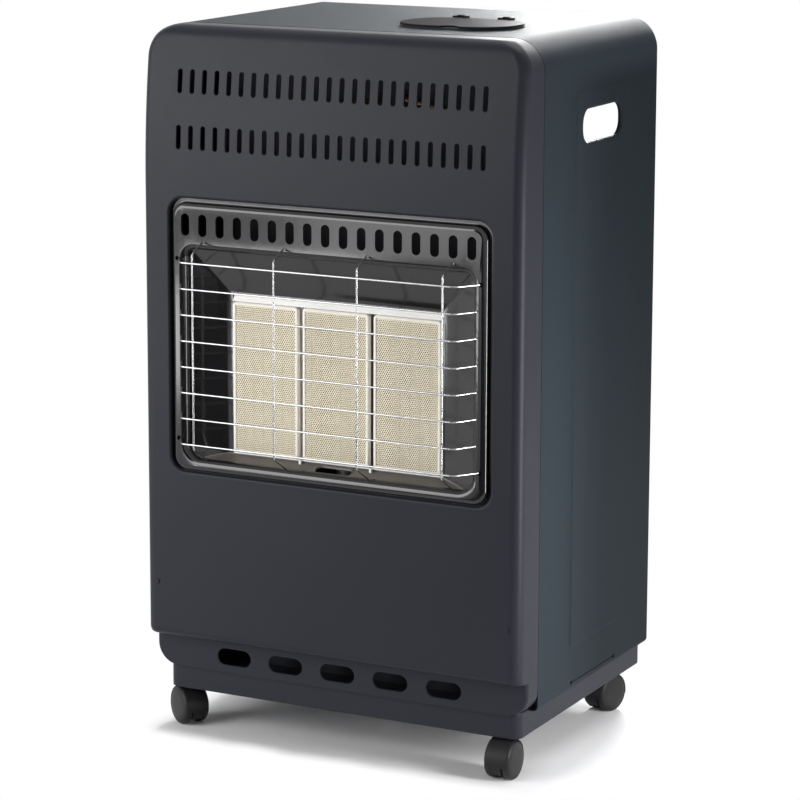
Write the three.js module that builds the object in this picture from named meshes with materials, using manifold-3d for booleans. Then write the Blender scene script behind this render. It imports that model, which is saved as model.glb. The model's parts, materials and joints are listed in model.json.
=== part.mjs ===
// Portable gas cabinet heater: a steel cabinet on four castors with a three-plaque
// radiant burner behind a wire guard, gas controls under a lid on top, and an open
// bay for the gas cylinder behind the burner. Millimetres, +Z up, front towards -Y.
import * as THREE from 'three';
import { mergeVertices } from 'three/addons/utils/BufferGeometryUtils.js';
import Module from 'manifold-3d';

const wasm = await Module();
wasm.setup();

// ---------------------------------------------------------------- driving sizes
// Inside the heater group, y = 0 is the flat face of the front cover.
const FIT = 0.3; // running and seating gap between two pieces
const SHEET = 1.2; // cabinet sheet steel

const WIDTH = 420; // over the front cover
const TOP_Z = 727; // top sheet of the cabinet
const CORNER_R = 32; // top corners seen from the front
const SEAM_Y = 45; // rear edge of the front cover
const SEAM_GAP = 2.5; // dark joint between cover and cabinet
const CABINET_REAR_Y = 326; // rear edge of the side panels
const CABINET_BOTTOM_Z = 67; // lower edge of cover and side panels

const EDGE_R = 11; // rounding of the cover's upright front edges
const TOP_EDGE_R = 12; // rounding from the face to the top
const LEAN_Z = TOP_Z - 157; // the face starts to lean back here
const LEAN = 13; // and lies this far back at the top edge
const CHIN_Z = 103; // underside of the main face
const CHIN_R = 9; // rounding from the face to that underside
const BAND_Y = 21; // set-back band below the chin
const BAND_CORNER_R = 22; // lower corners of the band

const OPENING_W = WIDTH - 60; // burner opening in the cover, 360 wide
const OPENING_HIGH_Z = TOP_Z - 170.5;
const OPENING_LOW_Z = OPENING_HIGH_Z - 279;
const OPENING_R = 16;
const OPENING_LIP = 6.5; // depth of the lip turned in round the opening

const VENT_COUNT = 25; // upright slots in each of the two rows
const VENT_ROW_W = OPENING_W - 25.4; // first to last slot centre
const VENT_W = 4.2;
const VENT_H = 23.3;
const VENT_ROWS_Z = [TOP_Z - 54.7, TOP_Z - 110];
const BAND_SLOT_COUNT = 5;
const BAND_SLOT_PITCH = 59.5;
const BAND_SLOT_W = 38;
const BAND_SLOT_H = 16.5;
const BAND_SLOT_Z = 83.5;

const WRAP_INSET = 1; // side panels lie this far inside the cover's width
const REAR_FLANGE = 13; // edge of the side panels turned in at the rear
const FOOT_R = 5; // rounding along the lower edges
const FOOT_FLANGE = 19; // lower edge of the side panels turned in
const PRESSING_FRONT_Y = 125; // raised rectangle pressed in each side panel
const PRESSING_REAR_Y = 262;
const PRESSING_LOW_Z = 112;
const PRESSING_HIGH_Z = TOP_Z - 58;
const PRESSING_RISE = 1;
const NOTCHES_Y = [128, 234]; // small notches in the lower edge of each side panel
const NOTCH_W = 4;
const NOTCH_H = 5;
const HAND_FRONT_Y = 137; // hand hole in each side panel
const HAND_REAR_Y = 236;
const HAND_HIGH_Z = TOP_Z - 76.5;
const HAND_LOW_Z = HAND_HIGH_Z - 32.5;
const HAND_R = 14;
const HAND_RIM = 9; // depth of the hole's turned-in rim

const BASE_W = WIDTH - 22; // 398
const BASE_FRONT_Y = 26;
const BASE_REAR_Y = 332;
const BASE_LOW_Z = 42;
const BASE_R = 10;
const BASE_SHEET = 1.5;
const PLATFORM_W = BASE_W - 108; // raised field in the tray floor under the gas cylinder
const PLATFORM_FRONT_Y = 95;
const PLATFORM_REAR_Y = 300;
const PLATFORM_RISE = 2;
const PLATFORM_R = 15;

const SHIELD_Y = 64; // partition between burner and cylinder bay
const SHIELD_TOP_Z = TOP_Z - 11;
const SHIELD_CORNER = 30; // the shield's upper corners are cut out this far
const SHIELD_HOLE_R = 7; // holes for the two pipes and the spark lead
const LOUVRE_W = 34; // five slots high in the shield
const LOUVRE_ROW_W = 240;
const LOUVRE_Z = OPENING_HIGH_Z + 3.5;

const REAR_COVER_W = WIDTH - 16; // 404
const REAR_COVER_TOP_Z = 452;
const REAR_COVER_R = 14;
const REAR_COVER_SHEET = 1;
const REAR_SLOT_W = 36; // two rows of six slots
const REAR_SLOT_ROW_W = REAR_COVER_W - 144;
const REAR_SLOT_ROWS_Z = [140, 380];
const GRIP_W = 96; // finger hole near the rear cover's upper edge
const GRIP_H = 24;

const SURROUND_Y = -5; // front face of the enamelled surround
const SURROUND_W = OPENING_W - 11; // its outline lies 5.5 inside the opening, 349 wide
const SURROUND_LOW_Z = OPENING_LOW_Z + 3.5;
const SURROUND_HIGH_Z = OPENING_HIGH_Z - 5.5;
const SURROUND_R = 13;
const SURROUND_EDGE_R = 4;
const WINDOW_W = SURROUND_W - 22; // the surround's own opening, 327 wide
const WINDOW_LOW_Z = SURROUND_LOW_Z + 8;
const WINDOW_HIGH_Z = SURROUND_HIGH_Z - 46.5;
const WINDOW_R = 11;
const COOLING_COUNT = 17; // slots in the surround's top bar
const COOLING_ROW_W = SURROUND_W - 33;
const COOLING_W = 8;
const COOLING_H = 24;
const COOLING_Z = SURROUND_HIGH_Z - 22;
const HOOK_X = SURROUND_W / 2 - 6.5; // guard hook holes in the surround
const HOOK_HOLE = 4.6;

const REFLECTOR_FRONT_Y = 3;
const REFLECTOR_REAR_Y = 24;
const REFLECTOR_SHEET = 1;
const REFLECTOR_REAR_LOW_Z = WINDOW_LOW_Z - 3;
const REFLECTOR_REAR_HIGH_Z = WINDOW_HIGH_Z - 40;
const PORT_W = 30; // oval port for the pilot in the reflector's floor
const PORT_D = 9;

const PLAQUE_W = 74.2;
const PLAQUE_H = 150.6;
const PLAQUE_Y = 16;
const PLAQUE_T = 15;
const PLAQUE_PITCH = PLAQUE_W + 4.8;
const PLAQUE_LOW_Z = WINDOW_LOW_Z + 10.8;
const PLAQUE_RIM = 3.2;
const PLAQUE_RECESS = 0.8;
const BURNER_FRAME_Y = 17.5;
const BURNER_FRAME_T = 13.5;
const BURNER_FRAME_EDGE = 2.4;
const BURNER_FRAME_FOOT = 8.3;
const BURNER_FRAME_HEAD = 10.8;

const PLENUM_D = 24; // depth of the mixing pan behind each plaque
const PLENUM_EDGE = 1; // the pan is this much wider than its plaque
const THROAT_R = 11; // mixing tube under each pan
const THROAT_LOW_Z = PLAQUE_LOW_Z - 49.8;
const RAIL_Z = THROAT_LOW_Z - 24;
const RAIL_Y = 46;
const RAIL_R = 6;
const RAIL_HALF = 96;
const INJECTOR_R = 4;
const INJECTOR_H = 13;

const GUARD_Y = -23; // middle of the guard's upright wires, behind the level ones
const WIRE_R = 1.25;
const GUARD_ROWS = 8;
const GUARD_LOW_Z = WINDOW_LOW_Z + 23.3;
const GUARD_PITCH = (WINDOW_HIGH_Z - 8.8 - GUARD_LOW_Z) / (GUARD_ROWS - 1); // 26.2
const GUARD_BEND_X = HOOK_X - 17; // level wires turn back here
const GUARD_END_X = HOOK_X - 2;
const GUARD_UPRIGHTS = 4;
const GUARD_UPRIGHT_ROW_W = 2 * (GUARD_BEND_X - 12.5);
const GUARD_UPRIGHT_LOW_Z = WINDOW_LOW_Z + 14;
const GUARD_UPRIGHT_HIGH_Z = WINDOW_HIGH_Z - 5.5;
const GUARD_FOOT_Z = WINDOW_LOW_Z + 1;
const GUARD_PEAK_Z = WINDOW_HIGH_Z + 9.5;

const LID_X = 78; // centre of the control lid
const LID_Y = 138;
const LID_W = 124;
const LID_D = 94;
const LID_R = 42;
const BEZEL_T = 1.7;
const LID_T = 2.7;
const WELL_RIM = 5; // the bezel's rim beyond its well
const WELL_FLOOR_Z = TOP_Z - 34.5;
const WELL_WALL = 1.5;
const NOTCH_R = 9.5;
const LID_PIN_R = 1.4;
const LID_AXIS_Y = LID_Y + LID_D / 2 + 3.4;
const LID_KNUCKLES_X = [LID_X - 25, LID_X + 25];
const KNUCKLE_W = 9;
const KNUCKLE_R = 2.6;
const EAR_T = 2.4; // the bezel's ears, one on each side of a knuckle

const KNOB_X = LID_X - 26;
const KNOB_Y = LID_Y - 1;
const KNOB_R = 21;
const KNOB_LOW_Z = WELL_FLOOR_Z + 7.5;
const KNOB_SKIRT_H = 12;
const KNOB_GRIP_W = 9; // raised bar across the knob
const KNOB_GRIP_H = 10;
const SPINDLE_R = 4;
const SPINDLE_DEPTH = 14; // the spindle reaches this far into the valve
const COLLAR_R = 7.5;
const COLLAR_H = 6;
const COLLAR_CLEARANCE = 0.5;
const CONTROL_PLATE_D = 48; // bracket under the well, front to back
const CONTROL_PLATE_EDGE = 9; // beyond the knob on one side and the button on the other
const VALVE_TOP_Z = WELL_FLOOR_Z - 2.1;
const VALVE_H = 40;
const VALVE_HALF_W = 16;
const VALVE_FRONT = 18; // from the spindle's axis to the valve's front face
const VALVE_REAR = 20;
const OUTLET_R = 9;
const OUTLET_END = 29; // from the spindle's axis to the end of the outlet nut
const INLET_R = 8;
const INLET_END = 33;
const GAS_Z = VALVE_TOP_Z - VALVE_H + 12; // inlet and outlet of the valve
const BUTTON_X = LID_X + 34;
const BUTTON_R = 7;
const BUTTON_H = 46;
const BUTTON_TRAVEL = 6;
const IGNITER_R = 9.5;
const IGNITER_H = 40;
const IGNITER_BASE = 16; // solid lower part of the igniter

const NOZZLE_R = 3.4; // hose tail behind the valve
const NOZZLE_BARB_R = 4.6;
const NOZZLE_BORE_R = 2;
const GAS_PIPE_R = 3.6;
const GAS_PIPE_X = 150; // the gas pipe comes down at this side
const PILOT_PIPE_R = 2;
const PILOT_PIPE_X = -145;
const PILOT_PIPE_OUT = 30; // it leaves the valve this far beside the spindle
const PILOT_OUT_Z = GAS_Z - 4;
const LEAD_R = 2.2;
const LEAD_X = GAS_PIPE_X + 26;
const DROP_Y = SHIELD_Y - 12; // where the pipes come down in front of the shield
const PIPES_LOW_Z = RAIL_Z - 36; // the lowest of them turns up again here

const PILOT_X = 10;
const PILOT_Y = 17;
const PILOT_SIDE = 14; // spark electrode and probe lie this far from the pilot burner
const PILOT_PLATE_Z = REFLECTOR_REAR_LOW_Z - 20;
const PILOT_R = 3.1;
const PROBE_R = 2.1;
const PILOT_LOW = 6; // the pilot burner starts this far under its plate
const PROBE_LOW = 4;

const CASTOR_X = BASE_W / 2 - 19;
const CASTOR_FRONT_Y = BASE_FRONT_Y + 14;
const CASTOR_REAR_Y = BASE_REAR_Y - 40;
const CASTOR_TRAIL = 7; // axle lies this far from the swivel axis
const CASTOR_W = 28;
const WHEEL_R = 19.5;
const WHEEL_W = 8.6;
const AXLE_R = 2.5;
const AXLE_BORE_R = AXLE_R + FIT;
const HOOD_TOP_Z = 41;
const HOOD_OVERHANG = 1.2; // the hood stands this far outside the treads
const STEM_R = 5;

const HALF = WIDTH / 2;
const BASE_TOP_Z = CABINET_BOTTOM_Z - 0.4;
const WRAP_HALF = HALF - WRAP_INSET;
const WRAP_FRONT_Y = SEAM_Y + SEAM_GAP;
const PLAQUE_HIGH_Z = PLAQUE_LOW_Z + PLAQUE_H;
const PLENUM_Y = PLAQUE_Y + PLAQUE_T + FIT;
const LID_LOW_Z = TOP_Z + FIT + BEZEL_T + FIT;
const BEZEL_TOP_Z = TOP_Z + FIT + BEZEL_T;
const LID_AXIS_Z = BEZEL_TOP_Z + 1.6;
const IGNITER_LOW_Z = WELL_FLOOR_Z - FIT - IGNITER_H;
const LEAD_OUT_Z = IGNITER_LOW_Z - 18; // the spark lead turns forwards here

// ---------------------------------------------------------------- finishes
const finish = (name, color, roughness, metalness) =>
  new THREE.MeshStandardMaterial({ name, color, roughness, metalness });
const CHARCOAL = finish('charcoal_paint', 0x43474d, 0.6, 0.1);
const ENAMEL = finish('black_enamel', 0x101114, 0.12, 0.1);
const REFLECTOR = finish('reflector_steel', 0x6d6e70, 0.3, 0.8);
const CERAMIC = finish('cream_ceramic', 0xe3d3ac, 0.9, 0);
const BURNER_WHITE = finish('burner_steel', 0xd9d8d4, 0.4, 0.6);
const GALVANISED = finish('galvanised_steel', 0x9b9ea0, 0.45, 0.9);
const CHROME = finish('chrome_wire', 0xd8d9db, 0.15, 1);
const BRASS = finish('brass', 0xb38b45, 0.35, 1);
const COPPER = finish('copper_tube', 0xa8643c, 0.4, 1);
const BLACK_PLASTIC = finish('black_plastic', 0x1a1b1d, 0.45, 0);
const TYRE_BLACK = finish('castor_tread', 0x232425, 0.7, 0);
const STEEL = finish('zinc_steel', 0xaab0b5, 0.35, 0.9);
const WHITE_CERAMIC = finish('white_ceramic', 0xeeeae0, 0.5, 0);
const LEAD_RED = finish('lead_sleeve', 0x5d1f1c, 0.7, 0);

// ---------------------------------------------------------------- solid helpers
function toSolid(geometry) {
  const bare = geometry.clone();
  for (const name of Object.keys(bare.attributes)) {
    if (name !== 'position') bare.deleteAttribute(name);
  }
  const merged = mergeVertices(bare, 1e-4);
  return new wasm.Manifold(new wasm.Mesh({
    numProp: 3,
    vertProperties: Float32Array.from(merged.attributes.position.array),
    triVerts: Uint32Array.from(merged.index.array),
  }));
}

function toGeometry(solid) {
  const mesh = solid.getMesh();
  const geometry = new THREE.BufferGeometry();
  geometry.setAttribute('position', new THREE.BufferAttribute(mesh.vertProperties, 3));
  geometry.setIndex(new THREE.BufferAttribute(mesh.triVerts, 1));
  geometry.computeVertexNormals();
  return geometry;
}

function block(x0, x1, y0, y1, z0, z1) {
  const box = new THREE.BoxGeometry(x1 - x0, y1 - y0, z1 - z0);
  return toSolid(box.translate((x0 + x1) / 2, (y0 + y1) / 2, (z0 + z1) / 2));
}

// A round bar from one point along an axis ('x', 'y' or 'z').
function bar(radius, length, at, axis, sides, endRadius = radius) {
  const rod = new THREE.CylinderGeometry(endRadius, radius, length, sides);
  rod.translate(0, length / 2, 0);
  if (axis === 'z') rod.rotateX(Math.PI / 2);
  if (axis === 'x') rod.rotateZ(-Math.PI / 2);
  return toSolid(rod.translate(at[0], at[1], at[2]));
}

// A closed outline round (cx, cy); each corner is an arc of so many steps.
function roundedRect(w, h, r, cx = 0, cy = 0, steps = 3) {
  return roundedBox(cx - w / 2, cx + w / 2, cy - h / 2, cy + h / 2, r, r, steps);
}

// The same between two pairs of sides, with its own radius for the upper corners.
function roundedBox(x0, x1, y0, y1, lowR, highR, steps) {
  const corners = [[x1, y0, -1, 1, lowR], [x1, y1, -1, -1, highR], [x0, y1, 1, -1, highR],
    [x0, y0, 1, 1, lowR]];
  const points = corners.flatMap(([x, y, inX, inY, r], quarter) =>
    Array.from({ length: steps + 1 }, (_, i) => {
      const angle = (quarter - 1 + i / steps) * Math.PI / 2;
      return new THREE.Vector2(x + inX * r + r * Math.cos(angle), y + inY * r + r * Math.sin(angle));
    }));
  return new THREE.Shape(points);
}

// Extrudes an outline drawn in plan (x, y) from z0 up to z1.
function prismUp(shape, z0, z1) {
  const geometry = new THREE.ExtrudeGeometry(shape, { depth: z1 - z0, bevelEnabled: false });
  return toSolid(geometry.translate(0, 0, z0));
}

// Extrudes an outline drawn as seen from the front (x, z) from y0 back to y1.
function prismBack(shape, y0, y1) {
  const geometry = new THREE.ExtrudeGeometry(shape, { depth: y1 - y0, bevelEnabled: false });
  geometry.rotateX(Math.PI / 2);
  return toSolid(geometry.translate(0, y1, 0));
}

// Extrudes an outline drawn as seen from the right side (y, z) from x0 to x1.
function prismAcross(shape, x0, x1) {
  const geometry = new THREE.ExtrudeGeometry(shape, { depth: x1 - x0, bevelEnabled: false });
  geometry.rotateX(Math.PI / 2);
  geometry.rotateZ(Math.PI / 2);
  return toSolid(geometry.translate(x0, 0, 0));
}

// Skins a stack of level rings, each a list of [x, y] points at its own z.
function loftUp(rings) {
  const count = rings[0].points.length;
  const positions = [];
  for (const ring of rings) {
    for (const [x, y] of ring.points) positions.push(x, y, ring.z);
  }
  const index = [];
  for (let level = 0; level + 1 < rings.length; level += 1) {
    for (let i = 0; i < count; i += 1) {
      const a = level * count + i;
      const b = level * count + (i + 1) % count;
      index.push(a, b, b + count, a, b + count, a + count);
    }
  }
  const cap = (ring) => THREE.ShapeUtils.triangulateShape(
    ring.points.map(([x, y]) => new THREE.Vector2(x, y)), []);
  for (const [a, b, c] of cap(rings[0])) index.push(c, b, a);
  const last = (rings.length - 1) * count;
  for (const [a, b, c] of cap(rings[rings.length - 1])) index.push(last + a, last + b, last + c);
  const geometry = new THREE.BufferGeometry();
  geometry.setAttribute('position', new THREE.Float32BufferAttribute(positions, 3));
  geometry.setIndex(index);
  return toSolid(geometry);
}

// A round wire or pipe along straight runs with small rounded bends.
function tube(points, radius, sides = 6, bend = 3) {
  const route = points.map((p) => new THREE.Vector3(...p));
  const path = new THREE.CurvePath();
  let from = route[0];
  for (let i = 1; i + 1 < route.length; i += 1) {
    const corner = route[i];
    const reachIn = Math.min(bend, corner.distanceTo(from) * 0.49);
    const reachOut = Math.min(bend, corner.distanceTo(route[i + 1]) * 0.49);
    const enter = corner.clone().lerp(from, reachIn / corner.distanceTo(from));
    const leave = corner.clone().lerp(route[i + 1], reachOut / corner.distanceTo(route[i + 1]));
    path.add(new THREE.LineCurve3(from, enter));
    path.add(new THREE.QuadraticBezierCurve3(enter, corner, leave));
    from = leave;
  }
  path.add(new THREE.LineCurve3(from, route[route.length - 1]));
  const stations = [];
  for (const curve of path.curves) {
    const parts = curve.isLineCurve3 ? 1 : 2;
    for (let i = 0; i < parts; i += 1) stations.push(curve.getPoint(i / parts));
  }
  stations.push(route[route.length - 1]);
  const spine = new THREE.CurvePath();
  spine.getPointAt = (t) => spine.getPoint(t);
  spine.getPoint = (t) => {
    const at = t * (stations.length - 1);
    const i = Math.min(Math.floor(at), stations.length - 2);
    return stations[i].clone().lerp(stations[i + 1], at - i);
  };
  spine.getTangent = (t) => {
    const i = Math.round(t * (stations.length - 1));
    const before = stations[Math.max(i - 1, 0)];
    const after = stations[Math.min(i + 1, stations.length - 1)];
    return after.clone().sub(before).normalize();
  };
  spine.getTangentAt = spine.getTangent;
  const section = new THREE.Shape();
  for (let i = 0; i < sides; i += 1) {
    const angle = (i + 0.5) * 2 * Math.PI / sides;
    const x = radius * Math.cos(angle);
    const y = radius * Math.sin(angle);
    if (i === 0) section.moveTo(x, y);
    else section.lineTo(x, y);
  }
  section.closePath();
  return toSolid(new THREE.ExtrudeGeometry(section, {
    steps: stations.length - 1, extrudePath: spine,
  }));
}

const joined = (solids) => solids.reduce((whole, piece) => whole.add(piece));
const spread = (count, width) =>
  Array.from({ length: count }, (_, i) => (i / (count - 1) - 0.5) * width);

function mesh(name, solid, material, parent) {
  const piece = new THREE.Mesh(toGeometry(solid), material);
  piece.name = name;
  parent.add(piece);
  return piece;
}

// ---------------------------------------------------------------- front cover
const lean = (z) => (z > LEAN_Z ? LEAN * ((z - LEAN_Z) / (TOP_Z - LEAN_Z)) ** 2 : 0);

// One level ring of the cover: a plan outline with its two front corners rounded.
function coverRing(z, half, frontY, radius, rearY) {
  const points = [];
  const steps = 3;
  for (let i = 0; i <= steps; i += 1) {
    const a = i / steps * Math.PI / 2;
    points.push([-half + radius * (1 - Math.cos(a)), frontY + radius * (1 - Math.sin(a))]);
  }
  for (let i = steps; i >= 0; i -= 1) {
    const a = i / steps * Math.PI / 2;
    points.push([half - radius * (1 - Math.cos(a)), frontY + radius * (1 - Math.sin(a))]);
  }
  points.push([half, rearY], [-half, rearY]);
  return { z, points };
}

// The cover as a solid lump, shrunk on every side by inset, up to rearY.
function coverLump(inset, rearY) {
  const rings = [];
  const edge = EDGE_R - inset;
  const bandEdge = 4 - inset;
  const half = HALF - inset;
  const bandR = BAND_CORNER_R - inset;
  const bandCentreZ = CABINET_BOTTOM_Z + BAND_CORNER_R;
  for (const a of [0, 30, 60, 90].map(THREE.MathUtils.degToRad)) {
    const z = bandCentreZ - bandR * Math.cos(a);
    rings.push(coverRing(z, half - bandR * (1 - Math.sin(a)), BAND_Y + inset, bandEdge, rearY));
  }
  rings.push(coverRing(CHIN_Z - 0.5 + inset, half, BAND_Y + inset, bandEdge, rearY));
  const chinR = CHIN_R - inset;
  for (const a of [0, 30, 60, 90].map(THREE.MathUtils.degToRad)) {
    const z = CHIN_Z + inset + chinR * (1 - Math.cos(a));
    rings.push(coverRing(z, half, inset + chinR * (1 - Math.sin(a)), edge, rearY));
  }
  const shoulderZ = TOP_Z - CORNER_R;
  for (const z of [0, 33, 61, 89, 116].map((rise) => LEAN_Z + rise)) {
    rings.push(coverRing(z, half, lean(z) + inset, edge, rearY));
  }
  const cornerR = CORNER_R - inset;
  const topR = TOP_EDGE_R - inset;
  for (const a of [0, 22, 40, 56, 72, 90].map(THREE.MathUtils.degToRad)) {
    const z = shoulderZ + cornerR * Math.sin(a);
    const rise = Math.max(0, z - (TOP_Z - TOP_EDGE_R));
    const roll = topR - Math.sqrt(Math.max(0, topR * topR - rise * rise));
    const narrowed = half - cornerR * (1 - Math.cos(a));
    rings.push(coverRing(z, narrowed, lean(z) + inset + roll, edge, rearY));
  }
  return loftUp(rings);
}

function openingOutline(extra) {
  return roundedRect(OPENING_W + 2 * extra, OPENING_HIGH_Z - OPENING_LOW_Z + 2 * extra,
    OPENING_R + extra, 0, (OPENING_HIGH_Z + OPENING_LOW_Z) / 2);
}

// An upright slot whose ends are cut to half an octagon.
function uprightSlot(x, z, width, height, y0, y1) {
  return prismBack(roundedRect(width, height, width * 0.3, x, z, 1), y0, y1);
}

function buildCover(parent) {
  const shellOut = coverLump(0, SEAM_Y);
  const shellIn = coverLump(SHEET, SEAM_Y + 10);
  const mouth = block(-HALF + BAND_CORNER_R, HALF - BAND_CORNER_R, BAND_Y + SHEET, SEAM_Y + 5,
    CABINET_BOTTOM_Z - 5, CABINET_BOTTOM_Z + 3);
  const lip = prismBack(openingOutline(SHEET), SHEET / 2, OPENING_LIP)
    .subtract(prismBack(openingOutline(0), -1, OPENING_LIP + 1));
  let cover = shellOut.subtract(shellIn).subtract(mouth).add(lip);
  cover = cover.subtract(prismBack(openingOutline(0), -2, SHEET + 1));
  const vents = VENT_ROWS_Z.flatMap((z) => spread(VENT_COUNT, VENT_ROW_W)
    .map((x) => uprightSlot(x, z, VENT_W, VENT_H, -3, 14)));
  const bandRow = spread(BAND_SLOT_COUNT, BAND_SLOT_PITCH * (BAND_SLOT_COUNT - 1))
    .map((x) => prismBack(roundedRect(BAND_SLOT_W, BAND_SLOT_H, BAND_SLOT_H / 2 - 0.5,
      x, BAND_SLOT_Z), BAND_Y - 2, BAND_Y + 4));
  mesh('front_cover', cover.subtract(joined([...vents, ...bandRow])), CHARCOAL, parent);
}

// ---------------------------------------------------------------- cabinet
function wrapOutline(inset) {
  const half = WRAP_HALF - inset;
  return roundedBox(-half, half, CABINET_BOTTOM_Z + inset, TOP_Z - inset,
    Math.max(FOOT_R - inset, 1), CORNER_R - inset, 4);
}

function handOutline(extra) {
  return roundedRect(HAND_REAR_Y - HAND_FRONT_Y + 2 * extra, HAND_HIGH_Z - HAND_LOW_Z + 2 * extra,
    HAND_R + extra, (HAND_REAR_Y + HAND_FRONT_Y) / 2, (HAND_HIGH_Z + HAND_LOW_Z) / 2);
}

// The raised rectangle of a side panel as a shallow tapered block, on side 1 or -1.
function pressing(side, grow, from, to) {
  const y = (PRESSING_REAR_Y + PRESSING_FRONT_Y) / 2;
  const z = (PRESSING_HIGH_Z + PRESSING_LOW_Z) / 2;
  const w = PRESSING_REAR_Y - PRESSING_FRONT_Y + 2 * grow;
  const h = PRESSING_HIGH_Z - PRESSING_LOW_Z + 2 * grow;
  const lift = to - from;
  const taper = loftUp([
    { z: 0, points: rectangle(h, w) },
    { z: lift, points: rectangle(h - 4 * lift, w - 4 * lift) },
  ]);
  return taper.rotate([0, 90, 0]).translate([from, y, z]).mirror(side > 0 ? [0, 0, 0] : [1, 0, 0]);
}

function rectangle(w, h) {
  return [[-w / 2, -h / 2], [w / 2, -h / 2], [w / 2, h / 2], [-w / 2, h / 2]];
}

function ovalOutline(inset) {
  return roundedRect(LID_W - 2 * inset, LID_D - 2 * inset, LID_R - inset, LID_X, LID_Y, 7);
}

function buildCabinet(parent) {
  let wrap = prismBack(wrapOutline(0), WRAP_FRONT_Y, CABINET_REAR_Y)
    .subtract(prismBack(wrapOutline(SHEET), WRAP_FRONT_Y - 1, CABINET_REAR_Y - SHEET))
    .subtract(prismBack(wrapOutline(REAR_FLANGE), CABINET_REAR_Y - SHEET - 1, CABINET_REAR_Y + 1))
    .subtract(block(-WRAP_HALF + FOOT_FLANGE, WRAP_HALF - FOOT_FLANGE, WRAP_FRONT_Y - 1,
      CABINET_REAR_Y + 1, CABINET_BOTTOM_Z - 1, CABINET_BOTTOM_Z + REAR_FLANGE + 1));
  for (const side of [-1, 1]) {
    wrap = wrap.add(pressing(side, 0, WRAP_HALF - 0.1, WRAP_HALF + PRESSING_RISE));
    wrap = wrap.subtract(pressing(side, -1, WRAP_HALF - SHEET - 0.1,
      WRAP_HALF - SHEET + PRESSING_RISE));
    const inner = WRAP_HALF + PRESSING_RISE - HAND_RIM;
    const outer = WRAP_HALF + PRESSING_RISE - 0.2;
    const rim = side > 0 ? [inner, outer] : [-outer, -inner];
    const hole = side > 0 ? [inner - 1, outer + 2] : [-outer - 2, -inner + 1];
    wrap = wrap.add(prismAcross(handOutline(SHEET), rim[0], rim[1]));
    wrap = wrap.subtract(prismAcross(handOutline(0), hole[0], hole[1]));
    for (const y of NOTCHES_Y) {
      const cut = block(WRAP_HALF - 6, WRAP_HALF + 1, y - NOTCH_W / 2, y + NOTCH_W / 2,
        CABINET_BOTTOM_Z - 1, CABINET_BOTTOM_Z + NOTCH_H);
      wrap = wrap.subtract(side > 0 ? cut : cut.mirror([1, 0, 0]));
    }
  }
  wrap = wrap.subtract(prismUp(ovalOutline(WELL_RIM - WELL_WALL - 1), TOP_Z - 5, TOP_Z + 5));
  mesh('cabinet_wrap', wrap, CHARCOAL, parent);
}

function buildBase(parent) {
  const depth = BASE_REAR_Y - BASE_FRONT_Y;
  const middle = (BASE_REAR_Y + BASE_FRONT_Y) / 2;
  const inner = roundedRect(BASE_W - 2 * BASE_SHEET, depth - 2 * BASE_SHEET,
    BASE_R - BASE_SHEET, 0, middle);
  const platform = (inset) => roundedRect(PLATFORM_W - 2 * inset,
    PLATFORM_REAR_Y - PLATFORM_FRONT_Y - 2 * inset, PLATFORM_R - inset, 0,
    (PLATFORM_REAR_Y + PLATFORM_FRONT_Y) / 2);
  const underZ = BASE_TOP_Z - BASE_SHEET;
  let base = prismUp(roundedRect(BASE_W, depth, BASE_R, 0, middle), BASE_LOW_Z, BASE_TOP_Z)
    .subtract(prismUp(inner, BASE_LOW_Z - 1, underZ))
    .add(prismUp(platform(0), underZ + 0.5, BASE_TOP_Z + PLATFORM_RISE))
    .subtract(prismUp(platform(BASE_SHEET), underZ - 1, underZ + PLATFORM_RISE));
  for (const [x, y] of castorPlaces()) {
    base = base.subtract(bar(STEM_R + FIT, 8, [x, y, BASE_TOP_Z - 5], 'z', 16));
  }
  mesh('base_tray', base, CHARCOAL, parent);
}

function buildShield(parent) {
  const half = WRAP_HALF - SHEET - FIT;
  const low = BASE_TOP_Z + FIT;
  let shield = block(-half, half, SHIELD_Y, SHIELD_Y + SHEET, low, SHIELD_TOP_Z)
    .add(block(-half, half, SHIELD_Y, SHIELD_Y + 12, SHIELD_TOP_Z - SHEET, SHIELD_TOP_Z))
    .add(block(-half + 30, half - 30, SHIELD_Y, SHIELD_Y + 14, low, low + SHEET));
  const clearX = WRAP_HALF - FOOT_FLANGE - 1;
  for (const [x0, x1] of [[-half - 1, -clearX], [clearX, half + 1]]) {
    shield = shield.subtract(block(x0, x1, SHIELD_Y - 1, SHIELD_Y + 20, low - 1,
      CABINET_BOTTOM_Z + 6));
  }
  const louvres = spread(5, LOUVRE_ROW_W).map((x) => prismBack(
    roundedRect(LOUVRE_W, 8, 2.6, x, LOUVRE_Z, 1), SHIELD_Y - 1, SHIELD_Y + SHEET + 1));
  const corner = block(half - SHIELD_CORNER, half + 1, SHIELD_Y - 1, SHIELD_Y + 20,
    SHIELD_TOP_Z - SHIELD_CORNER, SHIELD_TOP_Z + 1);
  shield = shield.subtract(corner).subtract(corner.mirror([1, 0, 0]));
  const passages = [[KNOB_X, GAS_Z], [KNOB_X - PILOT_PIPE_OUT, PILOT_OUT_Z], [BUTTON_X, LEAD_OUT_Z]]
    .map(([x, z]) => bar(SHIELD_HOLE_R, SHEET + 2, [x, SHIELD_Y - 1, z], 'y', 16));
  mesh('heat_shield', shield.subtract(joined([...louvres, ...passages])), CHARCOAL, parent);
}

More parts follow.
